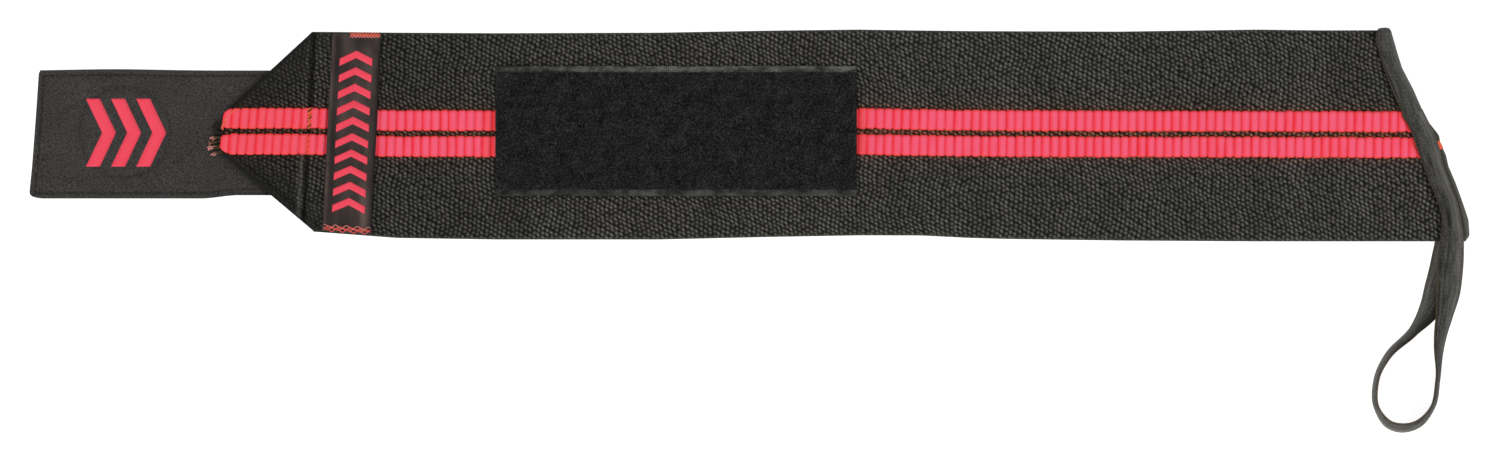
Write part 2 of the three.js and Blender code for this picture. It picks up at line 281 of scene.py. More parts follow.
def selvedgeMaterial():
    newMaterial("patch_selvedge")
    place = add("ShaderNodeTexCoord", out="Object")
    wave = {"Vector": place, "Scale": 420.0, "Distortion": 1.2, "Detail": 2.0}
    ribs = add("ShaderNodeTexWave", wave, out="Fac", bands_direction="X")
    fine = noise(2200, 3, 0.6)
    worn = ramp(noise(190, 3, 0.6, (1, 2, 1)), 0.3, 0.7)
    share = (ribs * 0.4 + 0.6) * (fine + 0.25) * (worn * 1.1 + 0.25)
    color = toned(mixColor(share, srgb(24, 24, 23), srgb(126, 126, 122)))
    return finishCloth(color, 0.9, bump(ribs + fine, 0.00015, 0.8), 0.12)


def satinMaterial():
    newMaterial("label_satin")
    floats = noise(5200, stretch=(0.12, 1, 1))
    soft = noise(150, 3, 0.55, (1, 0.35, 1))
    share = floats * 0.5 + ramp(soft, 0.3, 0.7) * 0.75
    color = toned(mixColor(share, srgb(37, 28, 26), srgb(82, 68, 63)))
    return finishCloth(color, 0.45, bump(floats, 0.00006, 0.5), 0.25)


def tabMaterial():
    newMaterial("tab_cloth")
    fine = noise(1900, 3, 0.75)
    share = ramp(fine, 0.34, 0.66) * 0.8 + noise(75, 3, 0.55) * 0.3
    color = toned(mixColor(share, srgb(22, 21, 20), srgb(77, 75, 73)))
    return finishCloth(color, 0.85, bump(fine, 0.00012, 0.7), 0.14)


def tapeMaterial():
    ribPitch = 1.5
    newMaterial("thumb_tape")
    run = attribute("run", "Vector")
    along, across, _ = split(run)
    ribs = calc("SINE", along * (2 * math.pi / ribPitch))
    fine = noise(2300, 3, 0.65)
    streaks = noise(2.6, 4, 0.65, (0.05, 3.4, 1), run)
    line = near(across, 0.82, 0.09)  # pressed in near one edge
    rims = near(across, 0.5, 0.42, 0.5)
    share = ribs * 0.03 + ramp(fine, 0.3, 0.7) * 0.4 + ramp(streaks, 0.3, 0.7) * 0.46 + line * 0.28
    # darker along the inner edge as a painted shadow, and lighter across the outer part as a painted sheen
    share = share - ramp(across, 0.17, 0.02) * 0.3 + ramp(across, 0.35, 0.8) * 0.3 - 0.13
    color = mixColor(share, srgb(37, 36, 34), srgb(105, 104, 100))
    color = toned(mixColor(rims * 0.5, color, srgb(92, 80, 62)))
    return finishCloth(color, 0.85, bump(ribs * 0.12 + fine, 0.00016, 0.8), 0.08)


def threadMaterial(name, dark, light):
    newMaterial(name)
    twist = noise(1400)
    color = mixColor(ramp(twist, 0.3, 0.7), srgb(*dark), srgb(*light))
    return finishCloth(color, 0.7, bump(twist, 0.0001, 0.6), 0.2)


def strandMaterial():
    shades = (
        (0.0, srgb(28, 26, 25)), (0.25, srgb(74, 58, 34)), (0.5, srgb(232, 152, 148)),
        (0.72, srgb(234, 104, 60)), (1.0, srgb(250, 92, 108)),
    )
    newMaterial("loose_strands")
    twist = noise(1600)
    color = add("ShaderNodeValToRGB", {0: attribute("shade") + twist * 0.2 - 0.1})
    bar = color.socket.node.color_ramp.elements
    while len(bar) < len(shades):
        bar.new(0.5)
    for element, (place, shade) in zip(bar, shades):
        element.position, element.color = place, shade
    return finishCloth(color, 0.7, bump(twist, 0.00008, 0.5), 0.2)


def printMaterial():
    newMaterial("screen_print")
    grain = noise(2600, 3, 0.6)
    share = noise(220, 3, 0.6) * 0.5 + grain * 0.5
    color = mixColor(share, srgb(238, 44, 74), srgb(254, 88, 106))
    return finishCloth(color, 0.5, bump(grain, 0.00006, 0.5), 0.3)


def hookMaterial():
    newMaterial("hook_black")
    grain = noise(1500)
    color = mixColor(grain, srgb(20, 20, 20), srgb(46, 46, 46))
    return finishCloth(color, 0.45, bump(grain, 0.00008, 0.4), 0.4)


def floorMaterial():
    newMaterial("pale_floor")
    color = mixColor(noise(3), srgb(206, 206, 206), srgb(212, 212, 212))
    return finishCloth(color, 0.9, None, 0.1, studio["floorGlow"])


# Mesh helpers, all in millimetres until the mesh is made

def smooth(value, start, end):
    share = np.clip((np.asarray(value, float) - start) / (end - start), 0, 1)
    return share * share * (3 - 2 * share)


def fade(value, start, end):
    return 1 - smooth(value, start, end)


def bell(value, middle, width):
    return np.exp(-(((value - middle) / width) ** 2))


def gridOf(x, y):
    return np.meshgrid(x, y, indexing="ij")


def rimOf(grid, ends, sides):
    # how much lower the outermost rows lie, so that an edge looks rounded
    rim = np.zeros_like(grid)
    rim[[0, -1], :] = ends
    rim[:, [0, -1]] = sides
    return rim


def quadsOf(number):
    corners = number[:-1, :-1], number[1:, :-1], number[1:, 1:], number[:-1, 1:]
    return np.stack(corners, -1).reshape(-1, 4)


def setLayer(mesh, name, values):
    isVector = np.ndim(values) == 2
    layer = mesh.attributes.new(name, "FLOAT_VECTOR" if isVector else "FLOAT", "POINT")
    layer.data.foreach_set("vector" if isVector else "value", np.asarray(values, np.float32).ravel())


def partOf(points, faces, **layers):
    return {"points": points, "faces": faces, "layers": layers}


def makePiece(name, parts, material):
    faces, layers = [], {}
    total = sum(len(part["points"]) for part in parts)
    start = 0
    for part in parts:
        count = len(part["points"])
        faces += [[index + start for index in face] for face in part["faces"]]
        for key, values in part["layers"].items():
            values = np.asarray(values, float)
            if key not in layers:
                layers[key] = np.zeros((total, *values.shape[1:]))
            layers[key][start:start + count] = values
        start += count
    mesh = bpy.data.meshes.new(name)
    points = np.concatenate([part["points"] for part in parts])
    mesh.from_pydata((points * toMetres).tolist(), [], faces)
    for key, values in layers.items():
        setLayer(mesh, key, values)
    return placeMesh(name, mesh, material)


def placeMesh(name, mesh, material):
    mesh.name = name
    mesh.validate()
    mesh.shade_smooth()
    mesh.materials.clear()
    mesh.materials.append(material)
    piece = addObject(name, mesh)
    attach(piece, "root")
    return piece


def cleanFace(face):
    kept = [index for place, index in enumerate(face) if index != face[place - 1]]
    return kept if len(set(kept)) > 2 else None


def shell(upper, lower, same=None, step=1):
    # upper is columns by rows by 3; lower has every step-th column; same maps indices of places that meet
    columns, rows = upper.shape[:2]
    lowColumns = lower.shape[0]
    base = columns * rows
    top = np.arange(base).reshape(columns, rows)
    low = base + np.arange(lowColumns * rows).reshape(lowColumns, rows)
    if same is not None:
        top, low = same(top), same(low, step)
    faces = quadsOf(top).tolist() + quadsOf(low)[:, ::-1].tolist()
    for i in range(lowColumns - 1):
        first, last = top[i * step:(i + 1) * step + 1, [0, -1]].T.tolist()
        faces.append([low[i, 0], low[i + 1, 0], *first[::-1]])
        faces.append([low[i + 1, -1], low[i, -1], *last])
    for j in range(rows - 1):
        faces.append([low[0, j + 1], low[0, j], top[0, j], top[0, j + 1]])
        faces.append([low[-1, j], low[-1, j + 1], top[-1, j + 1], top[-1, j]])
    faces = [face for face in map(cleanFace, faces) if face]
    points = np.concatenate([upper.reshape(-1, 3), lower.reshape(-1, 3)])
    return points, faces


def slab(x, y, top, bottom, **layers):
    sheets = [np.stack(np.broadcast_arrays(x, y, z), -1) for z in (top, bottom)]
    return partOf(*shell(*sheets), **layers)


def dropLoose(points, faces, layers):
    used = np.zeros(len(points), bool)
    used[np.concatenate(faces)] = True
    renumber = np.cumsum(used) - 1
    faces = [renumber[face].tolist() for face in faces]
    return partOf(points[used], faces, **{key: values[used] for key, values in layers.items()})


def ringFaces(count, sides):
    # rings of points joined one to the next, with both ends closed
    number = np.arange(count * sides).reshape(count, sides)
    joined = quadsOf(np.column_stack([number, number[:, 0]]))[:, [0, 3, 2, 1]]
    return [*joined.tolist(), number[0, ::-1].tolist(), number[-1].tolist()]


def tube(path, radius, shade):
    # closed thread along a path, tapered at both ends
    sides, count = 6, len(path)
    tangent = np.gradient(path, axis=0)
    tangent /= np.linalg.norm(tangent, axis=1)[:, None]
    side = np.cross(tangent, [0, 0, 1.0])
    side /= np.maximum(np.linalg.norm(side, axis=1), 1e-6)[:, None]
    rise = np.cross(side, tangent)
    radii = radius * np.sqrt(np.clip(1 - 0.75 * np.abs(np.linspace(-1, 1, count)) ** 6, 0, 1))
    turn = (np.arange(sides) * 2 * math.pi / sides)[None, :, None]
    ring = side[:, None, :] * np.cos(turn) + rise[:, None, :] * np.sin(turn)
    points = (path[:, None, :] + ring * radii[:, None, None]).reshape(-1, 3)
    return partOf(points, ringFaces(count, sides), shade=np.repeat(np.broadcast_to(shade, count), sides))


# Where things lie, by the same rules as the solids

def boxOf(node):
    return [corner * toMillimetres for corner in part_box(node)]


bandLow, bandHigh = boxOf("elastic_band")
tabLow, tabHigh = boxOf("tab_face")
patchLow, patchHigh = boxOf("loop_patch")
tipX, cornerX = bandLow.x, bandHigh.x
bandLength = cornerX - tipX
tabReach = tipX - tabLow.x

band = {
    "layerGap": 0.3, "halfWidth": 38.15, "thickness": 1.8, "tipShare": 0.19,
    "foldDepth": 33.1, "foldDepthLow": 33.9, "foldStack": 4.9, "foldSlope": 0.665,
    "flapReach": 19.0, "rampLength": 36.0, "cutSlant": 30.0,
    "endRise": 1.3, "endRiseLength": 30.0, "waveHeight": 0.7, "waveLength": 74.0,
    "knotPitch": 1.63, "rowPitch": 1.652, "knotRows": 46, "knotHeight": 0.13, "valley": -0.55,
    "edgeRound": 0.55, "leastThickness": 0.35,
    "seamX": -163.9, "seamLean": 0.058, "waver": 0.9, "rowWaver": 0.008,
    "stripesReach": 8.7, "roughness": 0.018, "scallop": 0.16, "meltReach": (1.9, 3.6), "meltTop": 0.16,
    "seamRidge": (-1.1, 0.7), "foldRidge": (1.3, 0.8), "foldGroove": (2.7, 0.6),
    "bloomNear": 0.5, "bloomFar": 0.16,
    # height, lengths along and across, and start of each small wave
    "puckers": ((0.10, 6.1, 31, 0.4), (0.07, 3.7, -44, 2.1), (0.06, 9.3, 19, 4.0)),
}
tape = {
    "width": 9.8, "thickness": 1.0, "shrink": 0.92, "loopReach": 28.5, "loopDrop": 68.9,
    "foldTop": 1.0, "foldFoot": 0.14, "overlap": 0.1, "leaf": 3.2, "creaseY": -29.5,
    "tuck": 2.4, "shoulder": 1.3, "endWidth": 1.5, "floorGap": 0.02, "grooveX": 0.36, "grooveDepth": 0.16,
}
# along: share of the band's length; upper and lower edge and the stripes, as shares of half its width
bandShape = np.array([
    (0, 0.99, 0.93, 0.03), (0.075, 0.99, 0.94, 0.03), (0.14, 0.985, 1, 0.01), (0.22, 0.98, 1.015, 0.01),
    (0.35, 0.985, 1.015, 0.015), (0.44, 1.005, 0.99, 0.025), (0.51, 1.015, 0.975, 0.03),
    (0.56, 1.006, 0.976, 0.02), (0.6, 1, 1, 0.012), (0.63, 0.999, 1.01, 0.01), (0.72, 0.995, 1.025, 0.006),
    (0.83, 1.015, 1.033, 0.004), (0.88, 1.007, 1.033, 0.0014), (1, 1.009, 1.033, -0.005),
])
# across: share of half the width; how far the cut end is set back, as a share of its slant
cutShape = np.array([
    (-1, 0.05), (-0.95, 0), (-0.8, 0.015), (-0.65, 0.08), (-0.45, 0.175), (-0.3, 0.26), (-0.19, 0.293),
    (-0.155, 0.315), (-0.08, 0.363), (-0.01, 0.375), (0.1, 0.485), (0.175, 0.59), (0.42, 0.725),
    (0.64, 0.875), (1, 1.01),
])
# across, and the tape's inner and outer edge from the cut end, as shares of its width
edgeRun = np.array([
    (0.98, -0.58, 0.13), (0.64, -0.58, 0.13), (0.42, -0.71, 0.13), (0.2, -0.7, 0.13), (0.1, -0.86, -0.04),
    (-0.01, -1.034, -0.15), (-0.155, -1.003, -0.14), (-0.3, -0.96, -0.16), (-0.45, -0.98, -0.21),
    (-0.65, -0.96, -0.2), (-0.8, -1.04, -0.26), (-0.93, -1.13, -0.2),
])
# sideways and down as shares of the loop's reach and drop, roll in degrees, height of the lower edge
loopRun = np.array([
    (-0.02, 0.09, 8, 0.34), (-0.048, 0.269, 24, 0.22), (-0.105, 0.398, 46, 0.14), (-0.168, 0.548, 62, 0.03),
    (-0.188, 0.742, 77, 0), (-0.248, 0.886, 77, 0), (-0.415, 0.974, 71, 0), (-0.63, 1.004, 70, 0),
    (-0.838, 0.979, 75, 0), (-0.99, 0.884, 84, 0), (-0.984, 0.742, 84, 0), (-0.83, 0.613, 80, 0),
    (-0.502, 0.484, 73, 0), (-0.274, 0.355, 38, 0), (-0.17, 0.235, 11, 0), (-0.09, 0.1, 2, 0),
    (-0.03, -0.06, 0, 0), (-0.13, -0.24, 0, 0), (-0.27, -0.4, 0, 0),
])
# across, and the reach of the tab's free end
tabShape = np.array([
    (-1, 0.935), (-0.99, 0.962), (-0.97, 0.985), (-0.94, 0.997), (-0.9, 1.0), (-0.5, 0.987), (0, 0.974),
    (0.5, 0.962), (0.95, 0.952), (1, 0.944),
])
rampStart = tabHigh.x + band["layerGap"]
rampEnd = rampStart + band["rampLength"]
riseEnd = cornerX - band["cutSlant"] - tape["width"]
riseStart = riseEnd - band["endRiseLength"]


def undersideAt(x):
    x = np.asarray(x, float)
    fold = band["foldStack"] * fade(x, rampStart, rampEnd)
    isEnd = smooth(x, riseStart, riseEnd)
    free = smooth(x, patchHigh.x, patchHigh.x + band["waveLength"]) * (1 - isEnd)
    wave = 0.5 - 0.5 * np.cos(2 * math.pi * (x - patchHigh.x) / band["waveLength"])
    return fold + band["endRise"] * isEnd + band["waveHeight"] * free * wave


def topAt(x):
    return undersideAt(x) + band["thickness"]


def shapeAt(x, column):
    return band["halfWidth"] * np.interp((x - tipX) / bandLength, bandShape[:, 0], bandShape[:, column])


def edgeAt(x, side):
    return np.where(np.asarray(side) > 0, shapeAt(x, 1), shapeAt(x, 2))


def stripesAt(x):
    return shapeAt(x, 3)


def foldAt(across):
    share = np.maximum(0, np.abs(across) - band["tipShare"]) / (1 - band["tipShare"])
    return tipX + np.where(np.asarray(across) > 0, band["foldDepth"], band["foldDepthLow"]) * share


def cutAt(across):
    return cornerX - band["cutSlant"] * np.interp(across, cutShape[:, 0], cutShape[:, 1])


def tapeEdgeAt(across, column=1):
    return cutAt(across) + tape["width"] * np.interp(across, edgeRun[::-1, 0], edgeRun[::-1, column])


def seamAt(y):
    return band["seamX"] + band["seamLean"] * y


endTop = float(topAt(riseEnd))


def bothSides(values, step=1):
    # a layer's values for the upper points, then for the lower ones, which have every step-th column
    return np.concatenate([part.reshape(-1, *values.shape[2:]) for part in (values, values[::step])])


# The woven band

def waverAt(x, across):
    # how far the columns and the rows of knots stray
    columns = np.sin(across * 4.1 + x / 33) + 0.5 * np.sin(across * 7.3 - x / 17 + 1.2)
    columns = columns + 0.3 * np.sin(across * 19 + x / 8)
    rows = np.sin(x / 9.5 + across * 3) + 0.8 * np.sin(x / 21 + 2)
    return band["waver"] * columns, band["rowWaver"] * rows * (1 - across ** 2)


def puckerAt(x, y):
    # small waves of the cloth, which the stripes hold flat
    waves = sum(size * np.sin(x / length + y / slant + turn) for size, length, slant, turn in band["puckers"])
    return waves * smooth(x, tipX, tipX + 20) * (np.abs(y - stripesAt(x)) > 9) * 0.6


def bloomAt(x, y):
    # a red tint on the weave beside the stripes, strongest between them
    away = np.abs(y - stripesAt(x)) - band["stripesReach"]
    bloom = band["bloomNear"] * fade(away, -0.6, 1.9) + band["bloomFar"] * fade(away, 0.5, 7)
    bloom = np.where(away < -band["stripesReach"] / 2, 1.0, bloom)
    return bloom * (0.72 + 0.28 * smooth(x, -60, 60))


def bandLayer():
    columnCount = 2 * round(bandLength / band["knotPitch"]) + 1
    rowCount = 2 * band["knotRows"] + 1
    along = np.linspace(tipX, cornerX, columnCount)
    snap = 0.35 * (along[1] - along[0])
    across = np.arange(-band["knotRows"], band["knotRows"] + 1) / band["knotRows"]
    gridX, gridAcross = gridOf(along, across)
    left, right = foldAt(across)[None, :], cutAt(across)[None, :]
    gridX = np.where(gridX < left + snap, left, gridX)
    gridX = np.where(gridX > right - snap, right, gridX)
    room = smooth(np.minimum(gridX - left, right - gridX), 0.5, 9)  # none of the waver at the ends
    sideways, upward = waverAt(gridX, gridAcross)
    gridX, gridAcross = gridX + room * sideways, gridAcross + room * upward
    gridY = gridAcross * edgeAt(gridX, gridAcross)
    knotU, knotV = gridOf(np.arange(columnCount) / 2, np.arange(rowCount) / 2)
    isEdge = np.abs(gridAcross) > 1 - 1e-6
    inside = (gridX > left + 1e-6) & (gridX < right - 1e-6) & ~isEdge
    isKnot = np.cos(math.pi * knotU) * np.cos(2 * math.pi * knotV) > 0.5
    isTip = np.abs(gridAcross) < band["tipShare"]
    isLow = gridAcross < -band["tipShare"]
    relief = np.where(isKnot, 1.0, band["valley"])
    fromFold = (gridX - left) * np.where(isTip, 1.0, band["foldSlope"])
    fromSeam = gridX - seamAt(gridY)
    fromCut = right - gridX
    ridge = bell(fromSeam, *band["seamRidge"])

    # where the weave is pressed flat: along the folds, the seam and the cut
    faded = fade(fromFold, 0.8, np.where(gridAcross < 0, 3.4, 2.4))
    faded = np.where(isTip, 0, np.maximum(faded, 0.5 * fade(fromFold, 3, 15)))
    faded = np.maximum(faded, 0.8 * bell(fromSeam, 0.8, 0.8))
    faded = np.maximum(faded, (0.3 + 0.6 * isLow) * ridge)
    melted = fade(fromCut, *band["meltReach"]) * (gridAcross < band["meltTop"])
    faded = np.maximum(faded, melted)

    lift = relief * (1 - 0.7 * faded) * band["knotHeight"]
    lift = (lift + chance.normal(0, band["roughness"], gridX.shape)) * inside
    lift += 0.38 * bell(fromSeam, -1.0, 1.0) - 0.75 * bell(fromSeam, 0.9, 0.75)
    lift += isLow * (0.3 * bell(fromFold, *band["foldRidge"]) - 0.4 * bell(fromFold, *band["foldGroove"]))
    lift += puckerAt(gridX, gridY)
    top = topAt(gridX) + lift
    bendRadius = band["thickness"] + band["layerGap"] / 2
    depth = np.clip(bendRadius - fromFold, 0, bendRadius)
    rounded = band["foldStack"] - band["layerGap"] / 2 + np.sqrt(bendRadius ** 2 - depth ** 2)
    top = np.where(fromFold < bendRadius, np.minimum(top, rounded), top)
    gridY = gridY + isEdge * np.sign(gridAcross) * band["scallop"] * np.cos(2 * math.pi * knotU)
    top = top - isEdge * band["edgeRound"]
    bottom = undersideAt(gridX) + isEdge * band["edgeRound"]
    bottom = bottom + inside * (0.06 - relief * band["knotHeight"] * 0.5)
    bottom = np.minimum(bottom, top - band["leastThickness"])
    upper = np.stack([gridX, gridY, top], -1)
    lower = np.stack([gridX, gridY, bottom], -1)[::2]

    firstInside = np.argmax(gridX > left + 1e-6, axis=0)
    lastInside = columnCount - 1 - np.argmax(gridX[::-1] < right - 1e-6, axis=0)

    def same(grid, step=1):
        number = np.arange(grid.shape[0])[:, None]
        low = np.maximum((firstInside - 1) // step, 0)
        high = np.minimum(-(-(lastInside + 1) // step), grid.shape[0] - 1)
        return grid[np.clip(number, low[None, :], high[None, :]), np.arange(rowCount)[None, :]]

    points, faces = shell(upper, lower, same, 2)
    # painted light and shade on the band: darker left of the seam and towards the left end, a painted shadow
    # in the seam's groove and a painted highlight on its ridge, painted shade along the folds and in the
    # lower fold's groove, and painted shadows beside both edges of the tape
    shade = 1 - 0.22 * fade(fromSeam, -0.5, 0.5) - 0.18 * fade(gridX, -120, -60)
    shade -= 0.05 * smooth(gridX, -170, -150) * fade(gridX, -10, 60)
    shade *= (1 - 0.8 * bell(fromSeam, 1.0, 0.85)) * (1 + (0.5 + 2.2 * isLow) * ridge)
    shade *= 1 - 0.25 * fade(fromFold, 0.2, 1.8)
    shade *= 1 - 0.5 * bell(fromFold, 2.8, 0.6) * isLow
    shade *= 1 - 0.6 * bell(tapeEdgeAt(gridAcross) - gridX, 0.0, 1.4)
    shade *= 1 - 0.5 * bell(gridX - tapeEdgeAt(gridAcross, 2), 0.2, 0.8)
    dots = 0.35 + 0.4 * np.cos(2 * math.pi * knotU) ** 2 * (knotU % 1 < 0.1)
    rim = fade(1 - np.abs(gridAcross), 0.004, 0.026) * dots
    weave = np.stack([knotU, knotV, np.zeros_like(knotU)], -1)
    bloom = bloomAt(gridX, gridY) * smooth(fromCut, 3.5, 7)
    layers = {"weave": weave, "faded": faded, "melted": melted, "rim": rim, "bloom": bloom}
    layers = {key: bothSides(values, 2) for key, values in layers.items()}
    # the lower side is painted a little darker, as shade
    layers["tone"] = np.concatenate([shade.ravel(), np.full(lower[..., 0].size, 0.9)])
    return dropLoose(points, faces, layers)


def bandFlap(side):
    # one of the two corners, folded under along its diagonal
    steps, bendSteps, reachSteps = 40, 7, 10
    innerRadius = band["layerGap"] / 2
    outerRadius = band["thickness"] + innerRadius
    tip = np.array([tipX, side * band["tipShare"] * band["halfWidth"]])
    shoulderX = tipX + band["foldDepth" if side > 0 else "foldDepthLow"]
    diagonal = np.array([shoulderX, side * float(edgeAt(shoulderX, side))]) - tip
    inward = np.array([diagonal[1], -diagonal[0]]) * side / np.linalg.norm(diagonal)
    middle = band["foldStack"] - innerRadius
    share = np.linspace(0, 1, steps)
    reach = 0.4 + band["flapReach"] * (1 - np.abs(2 * share - 1))
    sheets = []
    for radius in (innerRadius, outerRadius):
        rows = [
            (outerRadius - radius * math.sin(bend), middle + radius * math.cos(bend))
            for bend in np.radians(np.linspace(70, 180, bendSteps))
        ]
        rows += [(outerRadius + reach * k / reachSteps, middle - radius) for k in range(1, reachSteps + 1)]
        if radius == outerRadius:
            rows[-1] = (rows[-1][0], rows[-1][1] + 0.5)  # its raw edge is thinner
        sheets.append(np.stack([
            np.column_stack([
                tip + np.outer(share, diagonal) + inward * np.broadcast_to(away, steps)[:, None],
                np.full(steps, height),
            ]) for away, height in rows
        ], 1))
    points, faces = shell(*sheets)
    if side < 0:
        faces = [face[::-1] for face in faces]
    weave = (points - [tipX, 0, 0]) / [band["knotPitch"], band["rowPitch"], 1] * [1, 1, 0]
    pressed = np.tile(fade(np.arange(bendSteps + reachSteps), 2, 8), steps * 2)
    # the folded-under flaps are painted darker, as shade beneath the band
    return partOf(points, faces, weave=weave, faded=pressed, tone=np.full(len(points), 0.75))


wovenBand = makePiece("woven_band", [bandLayer(), bandFlap(1), bandFlap(-1)], weaveMaterial())
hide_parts("elastic_band")
print("woven band:", len(wovenBand.data.polygons), "faces")


# Geometry-node helpers

def newTree(name, *lengths):
    tree = bpy.data.node_groups.new(name, "GeometryNodeTree")
    current["tree"] = tree
    kinds = {"Geometry": "Geometry", **dict.fromkeys(lengths, "Float"), "Seed": "Int", "Material": "Material"}
    for label, kind in kinds.items():
        tree.interface.new_socket(label, in_out="INPUT", socket_type="NodeSocket" + kind)
    tree.interface.new_socket("Geometry", in_out="OUTPUT", socket_type="NodeSocketGeometry")
    source = tree.nodes.new("NodeGroupInput")
    return {socket.name: Field(socket) for socket in source.outputs}


def endTree(source, geometry):
    real = add("GeometryNodeRealizeInstances", {"Geometry": geometry})
    painted = add("GeometryNodeSetMaterial", {"Geometry": real, "Material": source["Material"]})
    add("NodeGroupOutput", {"Geometry": painted})
    return current["tree"]


def runTree(tree, hostMesh, lengths, **values):
    # lengths are in millimetres
    values.update({key: value * toMetres for key, value in lengths.items()})
    host = addObject("host", hostMesh)
    modifier = host.modifiers.new("nodes", "NODES")
    modifier.node_group = tree
    for item in tree.interface.items_tree:
        if item.in_out == "INPUT" and item.name in values:
            modifier[item.identifier] = values[item.name]
    ready = host.evaluated_get(bpy.context.evaluated_depsgraph_get())
    mesh = bpy.data.meshes.new_from_object(ready)
    host.modifiers.remove(modifier)
    bpy.data.objects.remove(host)
    return mesh


def hostOf(points, edges=(), faces=()):
    mesh = bpy.data.meshes.new("host")
    mesh.from_pydata((np.asarray(points) * toMetres).tolist(), list(edges), list(faces))
    return mesh


def pathOf(points):
    return hostOf(points, [(k, k + 1) for k in range(len(points) - 1)])


def pointsOn(source, pitch):
    curve = add("GeometryNodeMeshToCurve", {"Mesh": source["Geometry"]})
    return add("GeometryNodeCurveToPoints", {"Curve": curve, "Length": pitch}, mode="LENGTH")


def drawn(source, low, high, salt=0.0):
    seed = source["Seed"] + salt
    return add("FunctionNodeRandomValue", {0: low, 1: high, "Seed": seed}, data_type="FLOAT_VECTOR")


def facing(points):
    tangent = points.part("Tangent")
    kind = "FunctionNodeAlignRotationToVector"
    level = add(kind, {"Vector": tangent}, axis="X", pivot_axis="Z")
    return add(kind, {"Rotation": level, "Vector": tangent}, axis="X", pivot_axis="AUTO")


def bentThread(places, radius, steps, sides, isCapped=True):
    names = ("Start", "Start Handle", "End Handle", "End")
    arc = add("GeometryNodeCurvePrimitiveBezierSegment", {"Resolution": steps, **dict(zip(names, places))})
    ring = add("GeometryNodeCurvePrimitiveCircle", {"Resolution": sides, "Radius": radius})
    return add("GeometryNodeCurveToMesh", {"Curve": arc, "Profile Curve": ring, "Fill Caps": isCapped})


def placed(points, shape, scale, rotation=None):
    inputs = {"Points": points, "Instance": shape, "Scale": scale, "Rotation": rotation}
    return add("GeometryNodeInstanceOnPoints", inputs)


# Ribbed stripes

stripes = {
    "width": 7.8, "spacing": 9.6, "ribPitch": 3.22, "base": 0.66, "ribHeight": 0.46, "crestLean": 0.15,
    "startUpper": -193.0, "startLower": -193.9, "underTape": 2.4, "seed": 3, "lean": 0.012,
    "leanAtTip": 0.075, "leanFrom": -180.0, "leanEnd": -140.0, "tipRound": (3.6, 5.2),
    # how much the label, the patch, the tape and the seam press them flat
    "labelPress": 0.42, "patchPress": 0.12, "tapePress": 0.85, "seamPress": 0.5,
}
label = {
    "width": 18.0, "fromTip": 48.0, "thickness": 1.0, "fold": 1.6, "lean": 0.05, "reach": 0.985, "rim": 0.45,
    "sideRim": 0.3, "hump": 0.8,
}


def ribTree():
    source = newTree("rib_row", "Rib Pitch", "Rib Width", "Rib Height", "Base", "Crest Lean")
    pitch, width = source["Rib Pitch"], source["Rib Width"]
    row = pointsOn(source, pitch)
    size = join(X=pitch, Y=width, Z=0.001)
    bar = add("GeometryNodeMeshCube", {"Size": size, "Vertices X": 11, "Vertices Y": 15, "Vertices Z": 2})
    along, across, up = split(add("GeometryNodeInputPosition"))
    acrossShare = calc("SINE", across * math.pi / width)  # more points near the ends
    arch = calc("COSINE", along * 2.0 / pitch * math.pi) * 0.5 + 0.5
    fromMiddle = ramp(calc("ABSOLUTE", acrossShare), 0.74, 1.0)
    fromMiddle.socket.node.interpolation_type = "LINEAR"
    ends = calc("SQRT", 1.0 - calc("POWER", fromMiddle, 2.0))
    rise = (arch * source["Rib Height"] + source["Base"]) * (ends * 0.75 + 0.25)
    newPlace = join(
        X=along * (ends * 0.5 + 0.52) + arch * source["Crest Lean"] * pitch,
        Y=acrossShare * (width * 0.5),
        Z=rise * calc("GREATER_THAN", up, 0.0),
    )
    rib = add("GeometryNodeSetPosition", {"Geometry": bar, "Position": newPlace})
    ribs = placed(row, rib, drawn(source, (1.0, 0.97, 0.93), (1.03, 1.02, 1.06)), facing(row))
    jitter = drawn(source, (-0.00006, -0.0001, 0), (0.00006, 0.0001, 0.00004), 5.0)
    return endTree(source, add("GeometryNodeTranslateInstances", {"Instances": ribs, "Translation": jitter}))


def ribsAlong(path, sizes, crestLean, seed, material):
    lengths = {
        "Rib Pitch": sizes["ribPitch"], "Rib Width": sizes["width"],
        "Rib Height": sizes["ribHeight"], "Base": sizes["base"],
    }
    more = {"Crest Lean": crestLean, "Seed": seed, "Material": material}
    return runTree(ribRow, pathOf(path), lengths, **more)


def stripeMiddle(x, side):
    return stripesAt(x) + side * stripes["spacing"] / 2


